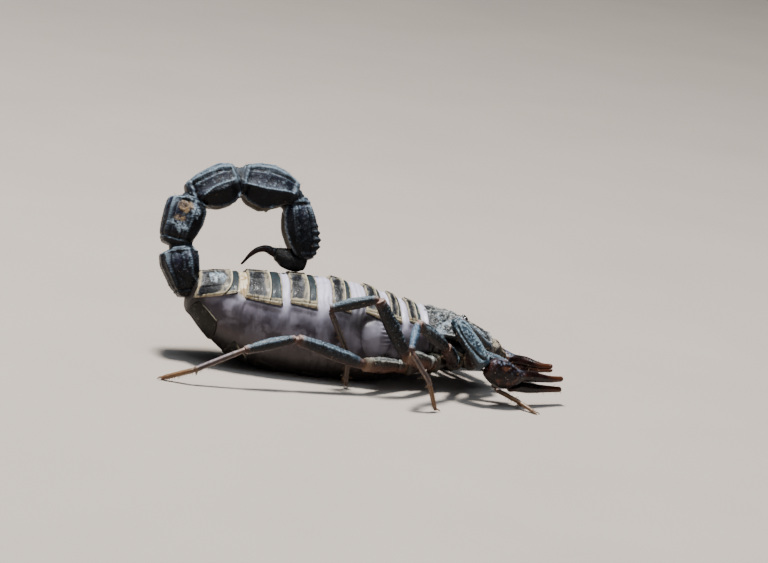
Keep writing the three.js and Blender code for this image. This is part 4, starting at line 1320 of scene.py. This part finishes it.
def tail_relief(skin, number):
    """Beaded keels, a raised outer band, hollow panels, raised ends and scattered grains; painted
    highlight on the outer band, painted shade beneath the crests, on the panels and lower parts, painted
    bounce light in the trough and painted glints on the first segment.
    """
    at = keel_turns(skin, number)
    thin = 0.19 / np.maximum(skin.full, 1.0)
    turn = np.abs(skin.turn)
    fade = window(skin.t, 0.02, 0.12, 0.9, 0.98)
    rows = {name: rib(skin.turn, at[name], thin) * beads(skin.mm, 0.4) for name in KEELS}
    keels = sum(w * rows[name] for w, name in zip(KEEL_STRENGTH[number], KEELS)) * fade
    teeth = tail_teeth(skin, number, at, thin)
    panel = hump(turn, 0.5 * (at["upper"] + at["lower"]), 0.34)
    strip = hump(turn, 0.5 * (at["lower"] + at["ventral"]), 0.13)
    outer = ease(0, 1, (turn - at["lower"]) / thin + 0.6)
    groove = hump(turn, at["lower"] - 2.0 * thin, 0.85 * thin)
    rims = hump(skin.t, 0.06, 0.028) + (0.15 if number == 5 else 1.0) * hump(skin.t, 0.945, 0.028)
    grains = pebbles(skin.base, 0.5, number, 0.5)
    height = (
        0.2 * keels + teeth + 0.14 * rims * (turn > 0.5)
        + fade * (0.12 * outer - 0.24 * panel - 0.12 * strip - 0.26 * groove)
        + 0.08 * grains * (turn > at["upper"]) + 0.03 * pebbles(skin.base, 0.27, number + 9, 0.6)
        + 0.06 * noise(skin.base, 1.6, number, 2) - 0.05 * hump(turn, 0, 0.3)
        - 0.16 * hump(skin.t, 0.115, 0.02)
    )
    worn_and_lit = clamp(0.8 * keels + 0.6 * rims + 0.5 * grains + teeth)
    # painted highlight on the outer band of the third and fourth segments
    if number in (3, 4):
        band = 1 - 0.8 * ease(at["ventral"] - 0.05, at["ventral"] + 0.1, turn)
        band = band * ease(at["lower"], at["lower"] + 0.5 * thin, turn)
        worn_and_lit = np.maximum(worn_and_lit, 0.6 * band * fade)
    scuff = 0 * turn
    if number == SOILED:
        patch = hump(skin.t, 0.75, 0.15) * hump(turn, at["upper"], 0.3)
        patch = patch + hump(skin.t, 0.38, 0.13) * panel
        scuff = ease(0.35, 0.8, patch + 0.7 * noise(skin.base, 0.8, 44, 3)) * (patch > 0.15)
    if number == 5:
        scuff = 0.8 * rows["crest"] * fade
    crest, upper = at["crest"], at["upper"]
    # painted bounce light inside the trough; painted shade beneath the crests, on the panels and the lower
    # parts
    inside = ease(0.15, 0.45, turn) * (turn < 1.02 * crest)
    beneath = window(turn, 1.02 * crest, crest + 0.1, upper - 0.16, upper - 0.04)
    fall = {1: ease(0.75, 0.35, skin.t), 5: ease(0.1, 0.45, skin.t)}.get(number, 0.55 * panel)
    gloom = np.maximum(beneath, 0.9 * fall)
    worn_and_lit = worn_and_lit * (1 - {1: 0.85, 5: 0.98}.get(number, 0.0) * gloom) * (1 - 0.4 * beneath)
    return height, {"ridge": worn_and_lit, "under": 0.9 * inside, "gloom": gloom * (1 - inside),
                    "scuff": scuff, "spark": 0.55 * (number == 1) * gloom}


def sand(skin):
    """Where loose sand lies on the near face of a tail segment."""
    near = hump(skin.out @ unit((-0.6, -1, 0.2)), 1.0, 0.09)
    patch = np.maximum(hump(skin.t, 0.79, 0.15), 0.7 * hump(skin.t, 0.5, 0.09)) * near
    return ease(0.34, 0.7, patch + 0.6 * noise(skin.base, 1.5, 3, 3)) * (patch > 0.12)


def add_tail():
    """Shells of the segments, vesicle and sting; gives their skins and the joints before each."""
    joints = meetings(["trunk", *TAIL, "telson_vesicle", "telson_sting"])
    middle = np.mean(joints, axis=0)
    skins = {}
    for number, (name, start, end) in enumerate(zip(TAIL, joints, joints[1:]), 1):
        line = Line([start, end], middle - 0.5 * (start + end))
        skin = Skin(cad(name), line, reach=6, spacing=FINE, margin=0.35, caps=(0.45, 0.4),
                    stations=26, columns=72, blurs=(0.7, 0.45))
        height, shown = tail_relief(skin, number)
        dirt = sand(skin) * (number == SOILED)
        height = height + 0.04 * dirt * (1 + noise(skin.base, 0.4, 5, 2))
        form = skin.form(height, joint=0.6 * end_rims(skin.t, 0.0, 1.0), dirt=dirt, **shown)
        piece(f"{name}_shell", form, "cuticle", "tail", name)
        skins[name] = skin
    start, end = joints[5:]
    line = Line([start, end], start + end - 2 * middle)
    skin = Skin(cad("telson_vesicle"), line, reach=4, spacing=0.1, caps=(0.4, 0.3), stations=18)
    grains = pebbles(skin.base, 0.42, 21, 0.5) * ease(0.2, 1.2, np.abs(skin.turn))
    rows = (rib(skin.turn, 2.5, 0.1) + rib(skin.turn, 1.9, 0.09)) * beads(skin.mm, 0.45)
    form = skin.form(0.05 * grains + 0.06 * rows + 0.03 * noise(skin.base, 1.2, 4, 2), gloom=0.8)
    piece("telson_vesicle_shell", form, "cuticle", "telson", "telson_vesicle")
    skins["telson_vesicle"] = skin
    line = Line(spine(cad("telson_sting"), end, 10), line.up)
    skin = Skin(cad("telson_sting"), line, reach=1.6, spacing=0.07, span=(0.0, 0.97),
                caps=(0.3, 0.5), stations=30, columns=24, blurs=(1.2, 1.0))
    form = skin.form(-0.3 * ease(0.6, 1.0, skin.t) * skin.radius)
    piece("telson_sting_point", form, "finger", "finger", "telson_sting")
    skins["telson_sting"] = skin
    return skins, joints


# ---- legs -------------------------------------------------------------------------------

LEG_PARTS = ("femur", "patella", "tibia", "tarsus")
LEG_KINDS = {             # paint on legs 1 and 2, and on legs 3 and 4
    "femur": ("leg", "thigh"), "patella": ("leg", "leg"), "tibia": ("shin", "leg"),
}
ROUGHNESS = {"femur": 1.0, "patella": 0.9, "tibia": 0.5, "tarsus": 0.2}   # of keels and grains
TOES = {1: 0.9, 2: 1.0, 3: 0.2, 4: 1.0}          # how ochre each foot is; the third is kept low as painted shade
DULL = {(3, "patella"): 1.0, (2, "patella"): 0.8}


def upward(a, b):
    """Reference up for a limb: world up, or a little back from it where the limb is steep."""
    steep = abs(b[2] - a[2]) > 0.94 * np.linalg.norm(b - a)
    return (1, 0, 0.2) if steep else (0, 0, 1)


def leg_relief(skin, part, seed):
    """Keels along the four corners, grains on top, and rims at the joints."""
    femur = part == "femur"
    turn = np.abs(skin.turn)
    thin = 0.15 / np.maximum(skin.full, 0.4)
    above = rib(skin.turn, 0.82, thin) * beads(skin.mm, 0.34)
    below = rib(skin.turn, 2.3, thin) * beads(skin.mm, 0.34)
    grains = pebbles(skin.base, 0.36, seed, 0.7) * ease(2.6, 1.6, turn)
    middle = window(skin.t, 0.1, 0.25, 0.85, 0.95)
    rims = hump(skin.t, 0.94, 0.025) + 0.6 * hump(skin.t, 0.07, 0.02)
    rough = ROUGHNESS[part] * middle
    height = rough * (0.1 * above + 0.09 * below + 0.1 * grains) + 0.06 * rims
    if part == "tibia":
        height = height + 0.16 * hump(skin.t, 0.5, 0.3)
    if femur:
        height = height - 0.2 * hump(skin.t, 0.2, 0.02) + 0.1 * hump(skin.t, 0.15, 0.025)
        rims = rims + hump(skin.t, 0.155, 0.03)
    worn_and_lit = clamp(rough * (above + 0.5 * grains) + 0.7 * rims)
    low = 1.35 if femur else 1.75
    joint = clamp(hump(skin.t, 1.0, 0.12 if femur else 0.07) + hump(skin.t, 0.0, 0.05))
    return height, worn_and_lit, ease(low, low + 0.7, turn), joint, above * middle, grains * middle


def limb_form(skin, leg, part, seed):
    """Femur, patella or tibia; the tibiae of legs 3 and 4 have a spur."""
    height, worn_and_lit, under, joint, crest, grains = leg_relief(skin, part, seed)
    dull = DULL.get((leg, part), 0.0)
    line = crest * (leg < 3) * (part == "patella")
    # painted glints on the grains of the dull knees
    glint = dull * ease(0.55, 0.85, grains)
    form = skin.form(height + 0.1 * dull * grains, ridge=worn_and_lit * (1 - 0.5 * dull), under=0.9 * under,
                     joint=0.9 * joint, gloom=dull, spark=0.6 * dull,
                     scuff=clamp(0.8 * line + 0.7 * glint))
    if part == "tibia" and leg > 2:
        form = joined([form, spur_form(skin, 0.93, 0.9)])
    return form


def foot_form(skin, leg, seed):
    """Tarsus with pedal spurs at the ankle, two curved claws and the short spike between them."""
    height, worn_and_lit, under, joint, _, _ = leg_relief(skin, "tarsus", seed)
    height = height - 0.07 * hump(skin.t, 0.6, 0.02) + 0.05 * hump(skin.t, 0.565, 0.02)
    toe = ease(0.05, 0.3, skin.t) if leg == 1 else ease(0.5, 0.68, skin.t)
    # painted shade on the third legs' feet
    forms = [skin.form(height, ridge=worn_and_lit, under=0.6 * under, joint=0.5 * joint, toe=toe * TOES[leg],
                       gloom=0.8 * (leg == 3))]
    forms += [spur_form(skin, 0.57, 0.7, turn, toe=0.5) for turn in (2.6, -2.6)]
    tip, along, up, side = (v[0] for v in skin.line.at(0.97 * skin.line.length))
    ahead = unit(along * (1, 1, 0.15))
    for way in (side, -side):
        bend = tip + 0.34 * way + 0.45 * ahead + 0.1 * up
        end = tip + 0.42 * way + 0.95 * ahead - 0.2 * up
        end[2] = max(end[2], 0.06)
        forms.append(horn([tip + 0.12 * way, bend, end], [0.13, 0.11, 0.03], toe=1.0, joint=0.5))
    forms.append(horn([tip, tip + 0.35 * ahead - 0.12 * up], [0.13, 0.05], steps=6, toe=1.0))
    return joined(forms)


def spur_form(skin, t, length, turn=math.pi, **values):
    """A small pointed spur that leaves the limb forwards and down."""
    s = np.array([t * skin.line.length])
    place, out = (v[0] for v in skin.surface(s, np.array([turn])))
    end = place + length * unit(skin.line.at(s)[1][0] + out)
    points = [place - 0.15 * out, 0.5 * (place + end) + 0.06 * out, end]
    return horn(points, [0.17, 0.12, 0.03], **values)


def add_leg(leg, side):
    """Shells of one leg; gives their skins and the joints before each."""
    names = [f"leg_{leg}_{side}_{part}" for part in LEG_PARTS]
    joints = meetings(["prosoma", *names])
    skins = {}
    for k, (name, part) in enumerate(zip(names, LEG_PARTS)):
        foot = part == "tarsus"
        points = spine(cad(name), joints[k], 11) if foot else joints[k:k + 2]
        line = Line(points, upward(points[0], points[-1]))
        reach, span = (1.1, (0.04, 0.97)) if foot else (2.6, None)
        skin = Skin(cad(name), line, reach, LIMB_MESH, span, caps=(0.3, 0.3), stations=22,
                    columns=32, blurs=(0.7, 0.5))
        seed = 10 * leg + k
        if foot:
            piece(f"{name}_shell", foot_form(skin, leg, seed), "tarsus", "tarsus", name)
        else:
            form = limb_form(skin, leg, part, seed)
            piece(f"{name}_shell", form, "limb", LEG_KINDS[part][leg > 2], name)
        skins[name] = skin
    return skins, joints


# ---- pedipalps --------------------------------------------------------------------------

def palp_relief(skin, kind, seed):
    """Square-cornered arm with beaded keels; the outer arm has an oval panel on its face."""
    thin = 0.2 / np.maximum(skin.full, 0.6)
    middle = window(skin.t, 0.05, 0.16, 0.88, 0.97)
    corner = {"femur": 0.8, "patella": 0.88}[kind]
    above = rib(skin.turn, corner, thin) * beads(skin.mm, 0.36) * middle
    below = rib(skin.turn, np.pi - corner, thin) * beads(skin.mm, 0.36) * middle
    grains = pebbles(skin.base, 0.38, seed, 0.5)
    rims = end_rims(skin.t, 0.08, 0.93)
    height = 0.15 * (above + below) + 0.08 * grains * middle + 0.08 * rims
    worn_and_lit = clamp(0.8 * (above + below) + 0.4 * grains + 0.3 * rims)
    if kind == "femur":
        return height, worn_and_lit, 0.75 * middle, above
    oval = np.hypot(skin.turn * skin.full / 0.8, (skin.t - 0.5) / 0.38)
    ring = hump(oval, 1.0, 0.09)
    speck = pebbles(skin.base, 0.42, seed + 4, 0.8) * (oval < 0.9)
    ditch = hump(oval, 1.24, 0.12) * middle * (0.45 + 0.55 * skin.t)
    height = height + 0.12 * ring - 0.4 * ditch + 0.1 * (oval < 1) + 0.1 * speck
    # the ditch round the oval carries painted shade
    return height, clamp(worn_and_lit + 0.5 * ring + 0.35 * speck) * (1 - ditch), ditch, 0 * above


def cutting_edge(skin, at, first, last):
    """Row of small teeth along a finger."""
    return hump(turned(skin.turn, at), 0, 0.3) * beads(skin.mm, 0.34, 0.2) * ease(first, last, skin.t)


def add_hand(name, wrist, sign):
    """Swollen hand with its fixed finger."""
    line = Line(spine(cad(name), wrist, 14), (0, 0.15 * sign, 1))
    skin = Skin(cad(name), line, reach=3.2, spacing=FINE, span=(0.03, 0.97), stations=40,
                blurs=(0.9, 0.8))
    palm = ease(0.5, 0.38, skin.t)
    ribs = sum(rib(skin.turn, at, 0.1) for at in (0.35, 1.05, 1.9)) * palm * ease(0.02, 0.1, skin.t)
    grains = pebbles(skin.base, 0.36, 71, 0.5) * palm
    height = (
        0.09 * ribs + 0.1 * cutting_edge(skin, np.pi, 0.42, 0.5) + 0.07 * grains
        + 0.04 * noise(skin.base, 1.5, 3, 2) + 0.14 * hump(skin.t, 0.62, 0.14)
    )
    form = skin.form(height, palm=palm, rust=ease(0.72, 1.0, skin.t), joint=0.7 * ease(0.05, 0.0, skin.t),
                     ridge=clamp(0.3 * ribs + 1.2 * grains - 0.2))
    piece(f"{name}_shell", form, "finger", "finger", name)
    return skin


def add_finger(name, root, sign):
    """Movable finger; its line starts at the end farthest from the tip."""
    solid = cad(name)
    tip = solid.samples[np.linalg.norm(solid.samples - root, axis=1).argmax()]
    heel = solid.samples[np.linalg.norm(solid.samples - tip, axis=1).argmax()]
    line = Line(spine(solid, heel, 12), (0, 0.15 * sign, 1))
    skin = Skin(solid, line, reach=2, spacing=0.1, span=(0.06, 0.97), caps=(0.5, 0.45),
                stations=30, columns=32, blurs=(0.9, 0.8))
    height = (
        0.1 * cutting_edge(skin, 0, 0.15, 0.25) + 0.02 * noise(skin.base, 1.5, 6, 2)
        + 0.1 * hump(skin.t, 0.4, 0.25)
    )
    form = skin.form(height, rust=ease(0.5, 1.0, skin.t), joint=0.5 * ease(0.12, 0.0, skin.t))
    piece(f"{name}_shell", form, "finger", "finger", name)
    return skin


def add_pedipalp(side):
    """Shells of one arm and its pincer; gives their skins and the joints that have a sleeve."""
    sign = SIDES[side]
    arm = [f"pedipalp_{side}_{part}" for part in ("femur", "patella")]
    hand, finger = f"pedipalp_{side}_hand", f"pedipalp_{side}_movable_finger"
    joints = meetings(["prosoma", *arm, hand])
    skins = {}
    for k, (name, kind) in enumerate(zip(arm, ("femur", "patella"))):
        skin = Skin(cad(name), Line(joints[k:k + 2], (0, sign, 0.6)), reach=3, spacing=FINE,
                    caps=(0.4, 0.35), stations=22, blurs=(0.7, 0.5))
        height, worn_and_lit, gloom, line = palp_relief(skin, kind, 60 + k)
        joint = hump(skin.t, 1.0, 0.05) + hump(skin.t, 0.0, 0.04)
        form = skin.form(height, ridge=worn_and_lit, under=0.5 * ease(1.9, 2.6, np.abs(skin.turn)),
                         joint=0.8 * joint, gloom=gloom, scuff=0.8 * line)
        piece(f"{name}_shell", form, "limb", {"femur": "leg", "patella": "palp"}[kind], name)
        skins[name] = skin
    skins[hand] = add_hand(hand, joints[2], sign)
    skins[finger] = add_finger(finger, meeting(hand, finger), sign)
    return skins, joints[:2]


# ---- joints and bristles ----------------------------------------------------------------

SLEEVE_RINGS, SLEEVE_SIDES = 14, 36
TILES = 9                # limbs share the bristle map in this many columns and rows
PATCH = 0.003            # size of one bristle's patch in the map


def sleeve(joint, before, after, fill=0.84, shaped=False, **values):
    """Pleated joint skin that bends from the end of one shell into the start of the next."""
    ends = []
    for table in (before.table[-1], after.table[0]):
        columns = np.arange(SLEEVE_SIDES) * len(table) // SLEEVE_SIDES
        ends.append(fill * (table[columns] if shaped else np.full(SLEEVE_SIDES, table.mean())))
    reach = 0.55 * (ends[0].mean() + ends[1].mean()) + 0.25
    back = reach * before.line.at(before.line.length)[1][0]
    on = reach * after.line.at(0.0)[1][0]
    line = Line([joint - back, joint - 0.4 * back, joint + 0.4 * on, joint + on], before.line.up)
    t = np.linspace(0, 1, SLEEVE_RINGS)[:, None]
    place, _, up, side = line.at(t[:, 0] * line.length)
    pleat = np.sqrt(clamp(np.minimum(t, 1 - t) * 9)) * (1 + 0.05 * np.sin(t * 40))
    wide = (ends[0] + (ends[1] - ends[0]) * t) * pleat
    rings = place[:, None] + spokes(up, side, turns_of(SLEEVE_SIDES), wide, wide)
    return tube(rings, place[[0, -1]], **values)


def sleeves(skins, joints, **look):
    """A sleeve at each joint between two shells of a chain."""
    chain = list(skins.values())
    return [sleeve(*bend, **look) for bend in zip(joints[1:], chain, chain[1:])]


def bristle_plan(name, skin):
    """Number, length and spread of a shell's bristles, and where they stand thickest."""
    turn = np.abs(skin.turn)
    if name.endswith("tarsus"):
        return 70, 0.55, 0.12, (0.25 + 1.2 * ease(1.2, 2.6, turn)) * ease(0.1, 0.3, skin.t)
    if name.startswith("leg"):
        return 26, 0.6, 0.15, 0.3 + ease(1.4, 2.4, turn)
    if name.endswith(("femur", "patella")):
        return 30, 0.6, 0.15, 1.0
    if name.endswith(("hand", "finger")):
        return 46, 0.6, 0.15, 1.0
    return 34, 0.6, 0.15, ease(0.9, 2.0, turn)


def bristle_forms(skin, tile, count, length, spread, weight):
    """Short stiff hairs rooted on a limb; each keeps one patch of the limb's tile in the map."""
    chance = weight * skin.radius
    chance[skin.shrink < 0.9] = 0
    row, column = divmod(tile, TILES)
    forms = []
    for index in rng.choice(chance.size, count, p=(chance / chance.sum()).ravel()):
        i, j = np.unravel_index(index, chance.shape)
        root, out, along = skin.base[i, j], skin.out[i, j], skin.along[i]
        size = length * rng.uniform(0.55, 1.2)
        end = root + size * unit(out + along * rng.uniform(0.2, 0.9) + rng.normal(0, spread, 3))
        end[2] = max(end[2], 0.05)
        middle = 0.5 * (root + end) + 0.08 * size * out
        form = horn([root - 0.05 * out, middle, end], [0.032, 0.026, 0.008], sides=3, steps=4)
        u = (column + 0.06 + 0.88 * skin.t[i, j]) / TILES
        v = (row + 0.06 + 0.88 * (skin.turn[i, j] / (2 * np.pi) + 0.5)) / TILES
        swing = 2.4 * np.arange(len(form.points))
        form.uv = (u, v) + 0.5 * PATCH * np.stack([np.cos(swing), np.sin(swing)], -1)
        forms.append(form)
    return forms


def add_bristles(skins):
    legs, arms = [], []
    for tile, (name, skin) in enumerate(skins.items()):
        heap = legs if name.startswith("leg") else arms
        heap += bristle_forms(skin, tile, *bristle_plan(name, skin))
    piece("leg_bristles", joined(legs), "limb", "seta")
    piece("arm_and_tail_bristles", joined(arms), "limb", "seta")


# ---- the animal -------------------------------------------------------------------------

def add_scorpion():
    add_abdomen()
    add_carapace()
    add_median_eyes()
    add_underbody()
    add_pectines()
    add_chelicerae()
    tail, joints = add_tail()
    links = sleeves(tail, joints, fill=0.93, shaped=True, gloom=0.85)
    piece("tail_joint_skins", joined(links), "cuticle", "tail")
    hairy, pleats = {}, []
    for side in SIDES:
        for skins, joints in [add_pedipalp(side), *(add_leg(leg, side) for leg in LEGS)]:
            hairy.update(skins)
            pleats += sleeves(skins, joints)
    piece("joint_skins", joined(pleats), "membrane", "joint")
    del tail["telson_sting"]              # it has no bristles
    add_bristles({**hairy, **tail})


add_camera()
add_studio()
add_scorpion()
